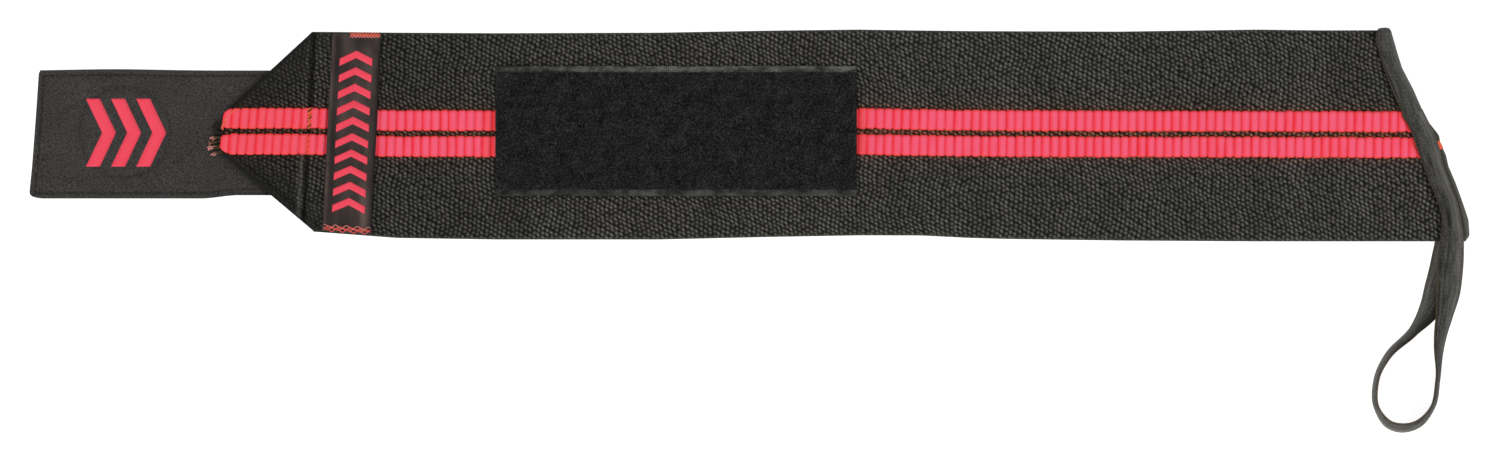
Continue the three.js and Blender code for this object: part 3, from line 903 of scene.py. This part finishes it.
def ribbedStripe(side, start):
    along = np.arange(start, cornerX, stripes["ribPitch"] / 4)
    middle = stripeMiddle(along, side)
    kept = along < tapeEdgeAt(middle / edgeAt(along, middle)) + stripes["underTape"]
    path = np.column_stack([along, middle, topAt(along) + 0.12])[kept]
    mesh = ribsAlong(path, stripes, stripes["crestLean"], stripes["seed"] + side, stripeCloth)
    points = np.empty(len(mesh.vertices) * 3, np.float32)
    mesh.vertices.foreach_get("co", points)
    x, y, z = points.reshape(-1, 3).astype(float).T * toMillimetres
    height = z - topAt(x)
    middle = stripeMiddle(x, side)
    lean = stripes["lean"] + stripes["leanAtTip"] * fade(x, stripes["leanFrom"], stripes["leanEnd"])
    x = x + (y - middle) * lean
    # how high on its rib a point lies, which sets the painted highlight and painted shade of the rib
    crest = (height - 0.35) / (stripes["base"] + stripes["ribHeight"] - 0.3)
    # how far it is from what lies over it, and the seam across it, which press it flat
    fromLabel = np.abs(x - (tipX + label["fromTip"]) - label["lean"] * y) - label["width"] / 2
    fromPatch = np.maximum(patchLow.x - x, x - patchHigh.x)
    fromTape = tapeEdgeAt(y / edgeAt(x, y)) - x
    seamPress = bell(x - seamAt(y), 0.7, 0.75)
    flattened = 1 - stripes["labelPress"] * fade(fromLabel, -0.2, 0.7)
    flattened -= stripes["patchPress"] * fade(fromPatch, -0.2, 0.3)
    flattened *= 1 - stripes["tapePress"] * fade(fromTape, -0.1, 0.9)
    flattened *= 1 - stripes["seamPress"] * seamPress
    tipRound = np.clip((start + stripes["tipRound"][0] - x) / stripes["tipRound"][1], 0, 1)
    z = topAt(x) + height * flattened - 0.6 * tipRound ** 2
    isOuter = (y - middle) * side > 0
    y = middle + (y - middle) * np.sqrt(1 - np.where(isOuter, 0.85, 0.3) * tipRound ** 2)
    mesh.vertices.foreach_set("co", (np.column_stack([x, y, z]) * toMetres).astype(np.float32).ravel())
    pressed = np.maximum(fade(fromTape, 0.0, 2.2), 0.6 * seamPress)
    pressed = np.maximum(pressed, 0.6 * fade(fromPatch, 1.0, 7.0))
    setLayer(mesh, "crest", crest)
    setLayer(mesh, "pressed", np.maximum(pressed, 0.4 * fade(x, -170, -140)))
    setLayer(mesh, "margin", smooth(np.abs(y - middle) / stripes["width"] * 2, 0.7, 1.0))
    return mesh


stripeCloth = stripeMaterial()
ribRow = ribTree()
for name, side, start in (
    ("stripe_upper", 1, stripes["startUpper"]), ("stripe_lower", -1, stripes["startLower"]),
):
    stripe = placeMesh("ribbed_" + name, ribbedStripe(side, start), stripeCloth)
    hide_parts(name)
print("ribbed stripes are in place")


# Woven label

def humpAt(x, y):
    # what lies over the stripes rises over them
    reach = (stripes["spacing"] + stripes["width"]) / 2 + 0.3
    return label["hump"] * fade(np.abs(y - stripesAt(x)), reach, reach + 2.4)


def labelPlace(offset, share, lift=0.0):
    # offset in millimetres from the left edge, share from -1 to 1 across the band
    plainX = tipX + label["fromTip"] - label["width"] / 2 + offset
    y = share * label["reach"] * edgeAt(plainX, share)
    x = plainX + label["lean"] * y
    fold = label["thickness"] / 3 * fade(offset, label["fold"], label["fold"] + 0.4)
    ripple = 0.10 * np.sin(y / 5.1 + 0.7) * np.sin(offset / 5) + 0.05 * np.sin(y / 2.3)
    z = topAt(x) + band["layerGap"] + humpAt(x, y) + label["thickness"] + fold + ripple + lift
    return np.stack(np.broadcast_arrays(x, y, z), -1)


def wovenLabel():
    offsets = np.concatenate([np.linspace(0, 1.6, 5), [1.8, 2.05], np.linspace(2.6, label["width"], 32)])
    offset, share = gridOf(offsets, np.linspace(-1, 1, 91))
    x, y, z = labelPlace(offset, share).transpose(2, 0, 1)
    rim = rimOf(offset, label["rim"], label["sideRim"])
    # painted light and shade across the label: a painted highlight on the raised fold strip, painted shade in
    # the dip after it, a painted highlight band near the right side and painted shade at the right edge; also
    # darker in the middle near both ends, an uneven tone, and the lower side a little darker
    tone = 0.75 + 0.3 * fade(offset, 0.9, 1.5) - 0.42 * bell(offset, 2.6, 1.4)
    tone += 0.35 * bell(offset, 14.6, 1.2) * (1.1 - share) - 0.45 * smooth(offset, 16.4, 17.4)
    uneven = 0.12 * np.sin(share * 9 + offset)
    tone *= 1 - 0.3 * bell(offset, 10, 4) * smooth(np.abs(share), 0.75, 0.95) + uneven
    tone = tone.ravel()
    part = slab(x, y, z - rim, z + 0.1 - label["thickness"], tone=np.concatenate([tone, tone * 0.9]))
    return makePiece("woven_label_cloth", [part], satinMaterial())


marks = {
    "label": {"count": 10, "first": -0.8, "last": 0.68, "reach": (3.2, 15.2), "peak": 0.08, "thick": 0.075},
    "tab": {"count": 3, "first": -14.5, "last": 4.1, "reach": (-12.6, 12.6), "peak": 6.0, "thick": 5.2},
    "rise": 0.10, "sink": 0.05,
}


def printedChevrons(name, place, sizes, steps):
    # plain V marks in a row, each with two arms that meet in the middle
    parts = []
    across = np.linspace(*sizes["reach"], 2 * steps + 1)
    bend = sizes["peak"] * (1 - np.abs(np.linspace(-1, 1, 2 * steps + 1)))
    for start in np.linspace(sizes["first"], sizes["last"], sizes["count"]):
        rows = np.linspace(start, start + sizes["thick"], 4)
        grid = np.stack([place(across, bend + row) for row in rows], 1)
        parts.append(partOf(*shell(grid + [0, 0, marks["rise"]], grid - [0, 0, marks["sink"]])))
    return makePiece(name, parts, redPrint)


labelCloth = wovenLabel()
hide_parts("woven_label")
redPrint = printMaterial()
labelPrinted = printedChevrons("label_print", labelPlace, marks["label"], 10)
print("label is in place")


# Loop patch

patch = {
    "base": 0.9, "pile": 1.4, "selvedge": 2.3, "ground": 0.72, "loopFoot": 0.62, "rim": 0.4, "sideRim": 0.35,
    "tuft": 0.13, "waver": 0.05, "density": 1.72e6, "loopRise": 0.7, "loopSpan": 0.9, "loopRadius": 0.09,
    "seed": 7,
}
pileLow, pileHigh = patchLow.y + patch["selvedge"], patchHigh.y - patch["selvedge"]


def patchHeight(x, y, high):
    return topAt(patchLow.x) + band["layerGap"] + patch["base"] + humpAt(x, y) + patch["pile"] * high


def patchCloth():
    hem = patch["selvedge"] * 0.85
    low, inner, high = [
        np.linspace(*limits) for limits in (
            (patchLow.y, patchLow.y + hem, 4), (pileLow, pileHigh, 74), (patchHigh.y - hem, patchHigh.y, 4),
        )
    ]
    gridX, gridY = gridOf(np.linspace(patchLow.x, patchHigh.x, 268), np.concatenate([low, inner, high]))
    fromSide = np.minimum(gridY - pileLow, pileHigh - gridY)
    fromEnd = np.minimum(gridX - patchLow.x, patchHigh.x - gridX)
    isPile = np.clip(np.minimum(fromSide, fromEnd + 0.15) / 0.9, 0, 1) ** 0.5
    tuft = chance.normal(0, patch["tuft"], gridX.shape) * isPile
    rim = rimOf(gridX, patch["rim"], patch["sideRim"])
    top = patchHeight(gridX, gridY, isPile * patch["ground"]) + tuft - rim
    waver = np.where(rim > 0, chance.normal(0, patch["waver"], gridX.shape), 0)
    bottom = topAt(patchLow.x) + band["layerGap"] + humpAt(gridX, gridY) * 0.9
    tone = np.where(gridY > 0, 0.9, 0.46) * (1 - 0.25 * smooth(np.abs(gridX), 50, 90))
    return slab(gridX, gridY + waver, top, bottom, tone=bothSides(tone)), bothSides(isPile)


def pileTree():
    source = newTree("pile_loops", "Density", "Loop Rise", "Loop Span", "Thickness")
    spread = {"Mesh": source["Geometry"], "Density": source["Density"], "Seed": source["Seed"]}
    points = add("GeometryNodeDistributePointsOnFaces", spread)
    half, away, rise = source["Loop Span"] * 0.5, source["Loop Span"] * -0.5, source["Loop Rise"] * 1.35
    places = (join(X=away), join(X=away, Z=rise), join(X=half, Z=rise), join(X=half))
    loop = bentThread(places, source["Thickness"], 3, 3, False)
    turn = drawn(source, (-0.6, -0.6, 0), (0.6, 0.6, 6.28), 3.0)
    return endTree(source, placed(points, loop, drawn(source, (0.7, 0.7, 0.6), (1.4, 1.3, 1.2), 9.0), turn))


def pileHost():
    x = np.linspace(patchLow.x + 0.5, patchHigh.x - 0.5, 60)
    gridX, gridY = gridOf(x, np.linspace(pileLow - 0.2, pileHigh + 0.4, 40))
    points = np.stack([gridX, gridY, patchHeight(gridX, gridY, patch["loopFoot"])], -1).reshape(-1, 3)
    return hostOf(points, faces=quadsOf(np.arange(len(points)).reshape(gridX.shape)).tolist())


pileCloth = pileMaterial()
patchShell, piled = patchCloth()
patchPiece = makePiece("loop_patch_cloth", [patchShell], pileCloth)
patchPiece.data.materials.append(selvedgeMaterial())
for polygon in patchPiece.data.polygons:
    polygon.material_index = int(all(piled[index] < 0.01 for index in polygon.vertices))
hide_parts("loop_patch")
pileMesh = runTree(pileTree(), pileHost(), {
    "Loop Rise": patch["loopRise"], "Loop Span": patch["loopSpan"], "Thickness": patch["loopRadius"],
}, Density=patch["density"], Seed=patch["seed"], Material=pileCloth)
pileLoops = placeMesh("loop_patch_pile", pileMesh, pileCloth)
print("loop patch:", len(pileMesh.polygons), "faces of pile")


# Closing tab

tab = {
    "halfWidth": 23.7, "bottom": 1.5, "thickness": 1.0, "pinch": 1.2, "hem": 1.9, "rim": 0.4,
    "ringX": -231.1, "ringY": 0.7, "ringRadius": 16.7, "bow": 0.5, "bowX": -235, "bowReach": 22,
    "pinchFrom": -203.0, "pinchTo": -189.0,
}
hemStitch = {"pitch": 2.2, "length": 1.75, "thickness": 0.34, "rise": 0.12, "seed": 4}
hemInset = tab["hem"] + 0.15


def tabEndAt(across):
    return tipX - tabReach * np.interp(across, tabShape[:, 0], tabShape[:, 1])


def tabPlace(x, y):
    edge = np.minimum(x - tabEndAt(y / tab["halfWidth"]), tab["halfWidth"] - np.abs(y))
    ring = np.hypot(x - tab["ringX"], y - tab["ringY"]) - tab["ringRadius"]  # a shallow round groove
    z = tab["bottom"] + tab["thickness"]
    z = z + 0.10 * fade(edge, 0, tab["hem"]) - 0.22 * bell(edge, hemInset, 0.35)
    z = z - 0.09 * bell(ring, 0, 0.6) + 0.04 * fade(ring, -2, 0)
    z = z + 0.05 * np.sin(x / 7 + y / 11) + 0.04 * np.sin(x / 3.1 - y / 5)
    return z, edge, ring


def pinchAt(x):
    return tab["pinch"] * smooth(x, tab["pinchFrom"], tab["pinchTo"])


def bowAt(x):
    return tab["bow"] * bell(x, tab["bowX"], tab["bowReach"])


def tabCloth():
    nearEdge = np.array([0.92, 0.95, 0.98, 0.99])
    across = np.unique(np.concatenate([np.linspace(-1, 1, 61), -nearEdge, nearEdge]))
    share = np.unique(np.concatenate([np.linspace(0, 1, 106), [0.004, 0.014, 0.022]]))
    gridShare, gridAcross = gridOf(share, across)
    startX = tabEndAt(gridAcross)
    gridX = startX + (tabHigh.x - startX) * gridShare
    fuller = np.where(gridAcross < 0, -pinchAt(gridX), (gridAcross > 0) * bowAt(gridX))
    gridY = gridAcross * (tab["halfWidth"] + fuller)
    top, edge, ring = tabPlace(gridX, gridY)
    rim = rimOf(gridX, tab["rim"], tab["rim"])
    rim[-1, 1:-1] = 0
    foldX = foldAt(gridY / band["halfWidth"])
    # painted shade in the stitch groove along the hem and in the round groove, the hem a little lighter, a
    # painted shadow of the folded band on the tab near the fold, and the lower side a little darker
    shade = (1 - 0.22 * bell(edge, hemInset, 0.4)) * (1 + 0.05 * fade(edge, 0, tab["hem"]))
    shade = shade * (1 - 0.24 * bell(ring, 0, 0.8)) * (1 - 0.45 * smooth(gridX, foldX - 1.4, foldX + 0.3))
    tone = np.concatenate([shade.ravel(), np.full(shade.size, 0.9)])
    part = slab(gridX, gridY, top - rim, tab["bottom"] + rim * 0.6, tone=tone)
    return makePiece("tab_cloth", [part], tabMaterial())


def hemPath():
    reach = tab["halfWidth"] - hemInset
    y = np.linspace(-reach, reach, 40)
    leftX = tabEndAt(y / tab["halfWidth"]) + hemInset
    endX = foldAt(0.6) - 0.5
    topX, lowX = np.linspace(leftX[-1], endX, 60), np.linspace(endX, leftX[0], 60)
    x = np.concatenate([lowX, leftX[1:-1], topX])
    y = np.concatenate([pinchAt(lowX) - reach, y[1:-1], bowAt(topX) + reach])
    return np.column_stack([x, y, tabPlace(x, y)[0] + 0.08])


def stitchTree():
    source = newTree("stitch_row", "Pitch", "Length", "Thickness", "Rise")
    row = pointsOn(source, source["Pitch"])
    half, away = source["Length"] * 0.5, source["Length"] * -0.5
    dip, rise = source["Rise"] * -1.2, source["Rise"] * 1.8
    bends = ((away, dip), (away * 0.6, rise), (half * 0.6, rise), (half, dip))
    places = [join(X=x, Z=z) for x, z in bends]
    stitch = bentThread(places, source["Thickness"] * 0.5, 6, 6)
    scale = drawn(source, (0.9, 0.9, 0.85), (1.08, 1.1, 1.1))
    return endTree(source, placed(row, stitch, scale, facing(row)))


def hemStitches():
    lengths = {key.capitalize(): hemStitch[key] for key in ("pitch", "length", "thickness", "rise")}
    thread = threadMaterial("black_thread", (26, 25, 24), (60, 58, 55))
    mesh = runTree(stitchTree(), pathOf(hemPath()), lengths, Seed=hemStitch["seed"], Material=thread)
    return placeMesh("hem_stitches", mesh, thread)


def markPlace(across, along):
    x = tab["ringX"] + along
    return np.stack(np.broadcast_arrays(x, across + tab["ringY"], tabPlace(x, across)[0]), -1)


tabPiece = tabCloth()
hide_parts("tab_face")
hemPiece = hemStitches()
tabPrinted = printedChevrons("tab_print", markPlace, marks["tab"], 16)
tabPrinted.data.flip_normals()
print("tab is in place")


# Hook tape under the tab

hooks = {
    "plate": 0.62, "rim": 0.12, "pitch": 1.75, "rise": 0.62, "lean": 0.42, "radius": 0.104, "sunk": 0.05,
    "marginX": 1.5, "marginLow": 1.2, "marginHigh": 1.0, "seed": 5,
}


def hookTree():
    source = newTree("hook_field", "Rise", "Lean", "Thickness")
    points = add("GeometryNodeMeshToPoints", {"Mesh": source["Geometry"]})
    down, lean = source["Rise"] * -1.0, source["Lean"]
    places = (join(), join(Z=down * 1.25), join(X=lean * 1.2, Z=down * 1.1), join(X=lean, Z=down * 0.45))
    hook = bentThread(places, source["Thickness"], 6, 4)
    return endTree(source, placed(points, hook, drawn(source, (0.85, 0.9, 0.9), (1.15, 1.1, 1.0))))


def hookTape(material):
    low, high = boxOf("hook_tape")
    gridX, gridY = gridOf(np.linspace(low.x, high.x, 48), np.linspace(low.y, high.y, 20))
    rim = rimOf(gridX, hooks["rim"], hooks["rim"])
    part = slab(gridX, gridY, high.z - rim, high.z - hooks["plate"] + rim)
    plate = makePiece("hook_tape_plate", [part], material)
    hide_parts("hook_tape")
    spotsX = np.arange(low.x + hooks["marginX"], high.x - hooks["marginX"], hooks["pitch"])
    spotsY = np.arange(low.y + hooks["marginLow"], high.y - hooks["marginHigh"], hooks["pitch"])
    spots = [
        (x + (row % 2) * hooks["pitch"] / 2, y, high.z - hooks["plate"] + hooks["sunk"])
        for row, y in enumerate(spotsY) for x in spotsX
    ]
    lengths = {"Rise": hooks["rise"], "Lean": hooks["lean"], "Thickness": hooks["radius"]}
    mesh = runTree(hookTree(), hostOf(spots), lengths, Seed=hooks["seed"], Material=material)
    placeMesh("hook_tape_hooks", mesh, material)
    print("hook tape:", len(spots), "hooks")


hookTape(hookMaterial())


# Thumb tape

def curveThrough(stations, shares):
    # centripetal curve through the stations, at shares of their number
    stations = np.asarray(stations, float)
    padded = np.vstack([2 * stations[0] - stations[1], stations, 2 * stations[-1] - stations[-2]])
    scaled = np.clip(shares, 0, 1) * (len(stations) - 1)
    segment = np.minimum(scaled.astype(int), len(stations) - 2)
    weight = (scaled - segment)[:, None]
    p0, p1, p2, p3 = (padded[segment + k] for k in range(4))
    d0, d1, d2 = (
        np.maximum(np.sum((b - a) ** 2, axis=1) ** 0.25, 1e-4)[:, None]
        for a, b in ((p0, p1), (p1, p2), (p2, p3))
    )
    t1 = ((p1 - p0) / d0 - (p2 - p0) / (d0 + d1) + (p2 - p1) / d1) * d1
    t2 = ((p2 - p1) / d1 - (p3 - p1) / (d1 + d2) + (p3 - p2) / d2) * d1
    c2 = -3 * p1 + 3 * p2 - 2 * t1 - t2
    c3 = 2 * p1 - 2 * p2 + t1 + t2
    return p1 + t1 * weight + c2 * weight ** 2 + c3 * weight ** 3


def aboveFloor(places):
    places[..., 2] = np.maximum(places[..., 2], tape["floorGap"])
    return places


def runLayer(along, across):
    return bothSides(np.stack(np.broadcast_arrays(along, across, 0.0), -1))


def tapeLoop():
    rows = 25
    flat = edgeRun[edgeRun[:, 0] <= tape["foldFoot"] + tape["overlap"]]
    flatLift = (endTop + band["layerGap"]) / tape["width"]
    plan, turn = [], []
    for across, inner, outer in flat:
        x = float(cutAt(across)) + tape["width"] * (inner + outer) / 2
        plan.append((x, across * float(edgeAt(riseEnd, across))))
        turn.append((0.0, tape["shrink"] * (outer - inner), flatLift))
    startX, edgeY = plan[-1][0], -float(edgeAt(riseEnd, -1))
    for sideways, down, roll, lift in loopRun:
        plan.append((startX + tape["loopReach"] * sideways, edgeY - tape["loopDrop"] * down))
        turn.append((math.radians(roll), 1.0, lift))
    steps = (len(plan) - 1) * 10
    shares = np.linspace(0, 1, steps + 1)
    centre = curveThrough(plan, shares)
    ahead = curveThrough(plan, shares + 1e-4) - curveThrough(plan, shares - 1e-4)
    ahead /= np.linalg.norm(ahead, axis=1)[:, None]
    roll, width, lift = curveThrough(turn, shares).T
    outward = np.column_stack([-ahead[:, 1], ahead[:, 0], np.zeros(len(shares))])
    upward = np.array([0, 0, 1.0])
    sine, cosine = np.sin(roll)[:, None], np.cos(roll)[:, None]
    acrossWay = outward * cosine - upward * sine
    faceWay = outward * sine + upward * cosine
    width = tape["width"] * width
    rise = (width * np.abs(np.sin(roll)) + tape["thickness"] * np.abs(np.cos(roll))) / 2
    middle = np.column_stack([centre, tape["width"] * np.maximum(0, lift) + rise])
    run = np.concatenate([[0], np.cumsum(np.linalg.norm(np.diff(middle, axis=0), axis=1))])[:, None]
    place = np.linspace(-0.5, 0.5, rows)[None, :]
    cup = 0.12 * np.sin(run / 6.5) * (1 - (2 * place) ** 2) + 0.05 * np.sin(run / 1.7)
    groove = tape["grooveDepth"] * bell(place, tape["grooveX"], 0.035)  # a line near one edge
    half = (1 - 0.58 * np.abs(2 * place) ** 5 - groove) * tape["thickness"] / 2
    crease = (shares < 0.5)[:, None] * bell(middle[:, 1:2], tape["creaseY"], 7.5) * bell(place, -0.13, 0.13)
    sheet = middle[:, None, :] + acrossWay[:, None, :] * (width[:, None] * place)[..., None]
    upper = aboveFloor(sheet + faceWay[:, None, :] * (half + cup * 0.6 - 0.5 * crease)[..., None])
    lower = aboveFloor(sheet - faceWay[:, None, :] * (half - cup * 0.6)[..., None])
    # lighter from the loop's bottom onward, painted shade in the crease, and the back leg painted darker as
    # shade, most on its side next to the front leg as that leg's painted shadow
    isBack = smooth(shares, 0.72, 0.8)[:, None]
    tone = (1 + 0.45 * smooth(shares, 0.45, 0.58)[:, None]) * (1 - 0.55 * crease)
    tone = tone * (1 - 0.38 * isBack) * (1 - 0.6 * isBack * smooth(place, 0.0, -0.35))
    return partOf(*shell(upper, lower), run=runLayer(run, place + 0.5), tone=bothSides(tone))


def tapeBinding():
    # folded round the cut end, from the band's upper edge to where it opens out flat
    steps, leafSteps, bendSteps, backSteps = 60, 8, 8, 4
    across = np.linspace(tape["foldTop"], tape["foldFoot"] - 0.06, steps)
    y = across * float(edgeAt(riseEnd, 1))
    edge = cutAt(np.minimum(across, 1)) - tape["tuck"] * fade(across, 0.1, 0.26)
    inner = tapeEdgeAt(across) + tape["shoulder"] * smooth(across, 0.88, 1.0)
    gap, thick = band["layerGap"], tape["thickness"]
    topZ = endTop + gap + thick / 2
    lowZ = float(undersideAt(riseEnd)) - gap - thick / 2
    radius = (topZ - lowZ) / 2
    centreX = edge + gap + thick / 2 - radius
    # each section's place along x, its height and the way it faces: upper leaf, bend, lower leaf
    sections = [(inner + (centreX - inner) * k / leafSteps, topZ, 0.0) for k in range(leafSteps)]
    sections += [
        (centreX + radius * math.sin(angle), (topZ + lowZ) / 2 + radius * math.cos(angle), angle)
        for angle in np.linspace(0, math.pi, bendSteps + 1)
    ]
    sections += [
        (centreX + (edge - tape["leaf"] - centreX) * k / backSteps, lowZ, math.pi)
        for k in range(1, backSteps + 1)
    ]
    middle = np.stack([np.column_stack([x, y, np.full(steps, z)]) for x, z, _ in sections], 1)
    normal = np.array([(math.sin(angle), 0, math.cos(angle)) for _, _, angle in sections])
    share = np.linspace(0, 1, len(sections))[None, :]
    half = thick / 2 * (1 - 0.5 * np.abs(2 * share - 1) ** 9)
    wobble = 0.10 * np.sin(y / 2.9)[:, None] + 0.07 * np.sin(y / 1.3 + 1)[:, None] * (1 - share)
    outer = aboveFloor(middle + normal * (half + wobble * 0.5)[..., None])
    within = middle - normal * (half - wobble * 0.5)[..., None]
    points, faces = shell(outer, within)
    layer = runLayer(-y[:, None], np.minimum(share * 1.6, 1))
    return partOf(points, [face[::-1] for face in faces], run=layer, tone=np.ones(len(layer)))


def tapeEnd():
    # end of the tape, tucked over the band's upper edge as a soft rounded fold
    low, high = float(tapeEdgeAt(1)), float(cutAt(1)) + band["layerGap"] + tape["thickness"]
    y = float(edgeAt(riseEnd, 1)) + band["layerGap"]
    top = endTop + band["layerGap"] + tape["thickness"]
    columns, sides = 14, 16
    share = np.linspace(0, 1, columns)[:, None]
    pinch = np.sqrt(1 - np.abs(2 * share - 1) ** 3) * 0.8 + 0.2
    turn = np.arange(sides)[None, :] * 2 * math.pi / sides
    sideways, upward = (np.sign(wave) * np.abs(wave) ** 0.7 for wave in (np.cos(turn), np.sin(turn)))
    points = np.stack(np.broadcast_arrays(
        low + 1.7 + (high - low - 1.9) * share,
        y - tape["endWidth"] / 2 + tape["endWidth"] * sideways * pinch + 0.2 * share,
        top / 2 * (1 + upward * (0.5 + 0.5 * pinch)),
    ), -1).reshape(-1, 3)
    layer = np.column_stack([points[:, 0], np.full(len(points), 0.4), np.zeros(len(points))])
    return partOf(points, ringFaces(columns, sides), run=layer, tone=np.ones(len(points)))


tapeParts = [tapeBinding(), tapeEnd(), tapeLoop()]
thumbTape = makePiece("thumb_loop_tape", tapeParts, tapeMaterial())
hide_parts("thumb_tape")
print("thumb tape:", len(thumbTape.data.polygons), "faces")


# Loose strands, and the threads that hold the label and the fold

fray = {
    "count": 4, "radius": 0.25, "rise": 5.4, "fall": 3.2, "curl": 0.6, "spread": 0.45, "rootSpread": 0.5,
    "turns": (5, 8), "seed": 21,
    "tufts": (
        (-198.2, 3.2, 0.05), (-198.0, 0.9, 0.08), (-199.0, -1.1, 0.52), (-199.7, -3.2, 0.34),
        (-199.8, -5.3, 0.54), (-198.8, -7.2, 0.52), (-197.2, -2.4, 0.28), (-197.2, -5.0, 0.3),
    ),
}
threads = {
    "radius": 0.25, "labelRadius": 0.14, "labelWave": 0.016, "labelSeed": 9,
    "seamReach": 0.7, "seamHeight": 0.66,
    "lowShades": (0.95, 0.72, 0.9, 0.55), "highShades": (0.72, 0.9, 0.58),
    # the stripe's side, shade, distance from the seam, and how quickly it waves
    "seamRuns": ((1, 0.72, 0.5, 3.3), (1, 0.16, 1.0, 2.1), (1, 0.72, 1.1, 4.6), (-1, 0.82, 0.6, 3.3)),
    "tipRun": ((-195.2, 1.6), (-194.8, 3.4), (-194.0, 5.2), (-193.0, 6.9), (-191.4, 8.4), (-189.4, 9.3)),
    "tipRuns": ((0.0, 0.7), (2.2, 0.86)),  # where the waves start, and the shade
}


def strands(name, shadedPaths, radius):
    parts = [tube(path, radius, shade) for path, shade in shadedPaths]
    return makePiece(name, parts, looseStrand)


def frayedEnd():
    # short curls in a few tufts, dark where they leave the band
    draw = np.random.default_rng(fray["seed"])
    steps = np.linspace(0, 1, 11)
    for farX, farY, tone in fray["tufts"]:
        for _ in range(fray["count"]):
            end = np.array([farX, farY]) + draw.normal(0, fray["spread"], 2)
            start = np.array([tipX + 0.2, farY * 0.8 + draw.normal(0, fray["rootSpread"])])
            curl = draw.normal(0, 0.5) + draw.uniform(*fray["turns"]) * steps
            curls = (steps ** 1.5)[:, None] * np.column_stack([np.cos(curl), np.sin(curl)])
            plan = start + (end - start) * smooth(steps, 0, 0.85)[:, None] + fray["curl"] * curls
            z = fray["rise"] + (fray["fall"] - fray["rise"]) * smooth(steps, 0, 0.8)
            tipShade = tone * (0.75 + 0.3 * draw.random())
            yield np.column_stack([plan, z]), tipShade * (0.35 + 0.65 * smooth(steps, 0.25, 0.75))


def labelThreads():
    draw = np.random.default_rng(threads["labelSeed"])
    steps = np.linspace(0, 1, 46)
    for k, shade in enumerate(threads["lowShades"]):
        wave = np.sin(steps * 27 + 2.4 * k) * (0.6 + 0.6 * draw.random())
        share = -0.982 + threads["labelWave"] * wave + 0.012 * k
        yield labelPlace(label["width"] * (0.02 + 0.96 * steps), share, 0.05 + 0.06 * k), shade
    for k, shade in enumerate(threads["highShades"]):
        share = 1.0 + threads["labelWave"] * np.sin(steps * 63 + 2 * k) - 0.012 * k
        yield labelPlace(label["width"] * (0.36 + 0.62 * steps), share, 0.05 + 0.06 * k), shade


def seamThreads():
    for side, shade, offset, waves in threads["seamRuns"]:
        y = float(stripeMiddle(band["seamX"], side)) + np.linspace(-0.5, 0.5, 37) * stripes["width"]
        x = seamAt(y) + offset + threads["seamReach"] * np.sin(y * waves)
        yield np.column_stack([x, y, topAt(x) + threads["seamHeight"] + 0.12 * np.cos(y * waves)]), shade
    stations = np.array(threads["tipRun"]).T
    share = np.linspace(0, 1, 33)
    for turn, shade in threads["tipRuns"]:
        x, y = [np.interp(share, np.linspace(0, 1, len(places)), places) for places in stations]
        x = x + 0.3 + 0.35 * np.sin(share * 26 + turn)
        height = 0.42 + 0.3 * share + 0.1 * np.cos(share * 26 + turn)
        yield np.column_stack([x, y, topAt(x) + height]), shade


looseStrand = strandMaterial()
strands("frayed_threads", frayedEnd(), fray["radius"])
labelThreadPiece = strands("label_threads", labelThreads(), threads["labelRadius"])
strands("seam_threads", seamThreads(), threads["radius"])
print("loose threads are in place")


# Cut end of the lower stripe, past the tape

cutStripe = {
    "ribPitch": 2.1, "width": 3.4, "ribHeight": 0.35, "base": 0.45, "slope": 0.52, "inset": 1.0, "drop": 0.9,
    "shade": 0.76, "seed": 2,
}


def stripeCutEnd():
    # one worn lump where the lower stripe shows again, along the raw edge
    y = float(stripeMiddle(cornerX, -1)) + cutStripe["drop"]
    x = float(cutAt(y / float(edgeAt(riseEnd, -1)))) - cutStripe["inset"]
    path = [(x + step, y + cutStripe["slope"] * step, endTop) for step in (0, 0.8, 1.6)]
    mesh = ribsAlong(path, cutStripe, 0.0, cutStripe["seed"], looseStrand)
    setLayer(mesh, "shade", np.full(len(mesh.vertices), cutStripe["shade"]))
    placeMesh("stripe_cut_end", mesh, looseStrand)


stripeCutEnd()


# Floor and the end

reach = studio["floorSize"] / 2
floorMesh = bpy.data.meshes.new("floor")
corners = [(-reach, -reach, 0), (reach, -reach, 0), (reach, reach, 0), (-reach, reach, 0)]
floorMesh.from_pydata(corners, [], [(0, 1, 2, 3)])
floorMesh.materials.append(floorMaterial())
floor = addObject("floor", floorMesh)

print("finished")
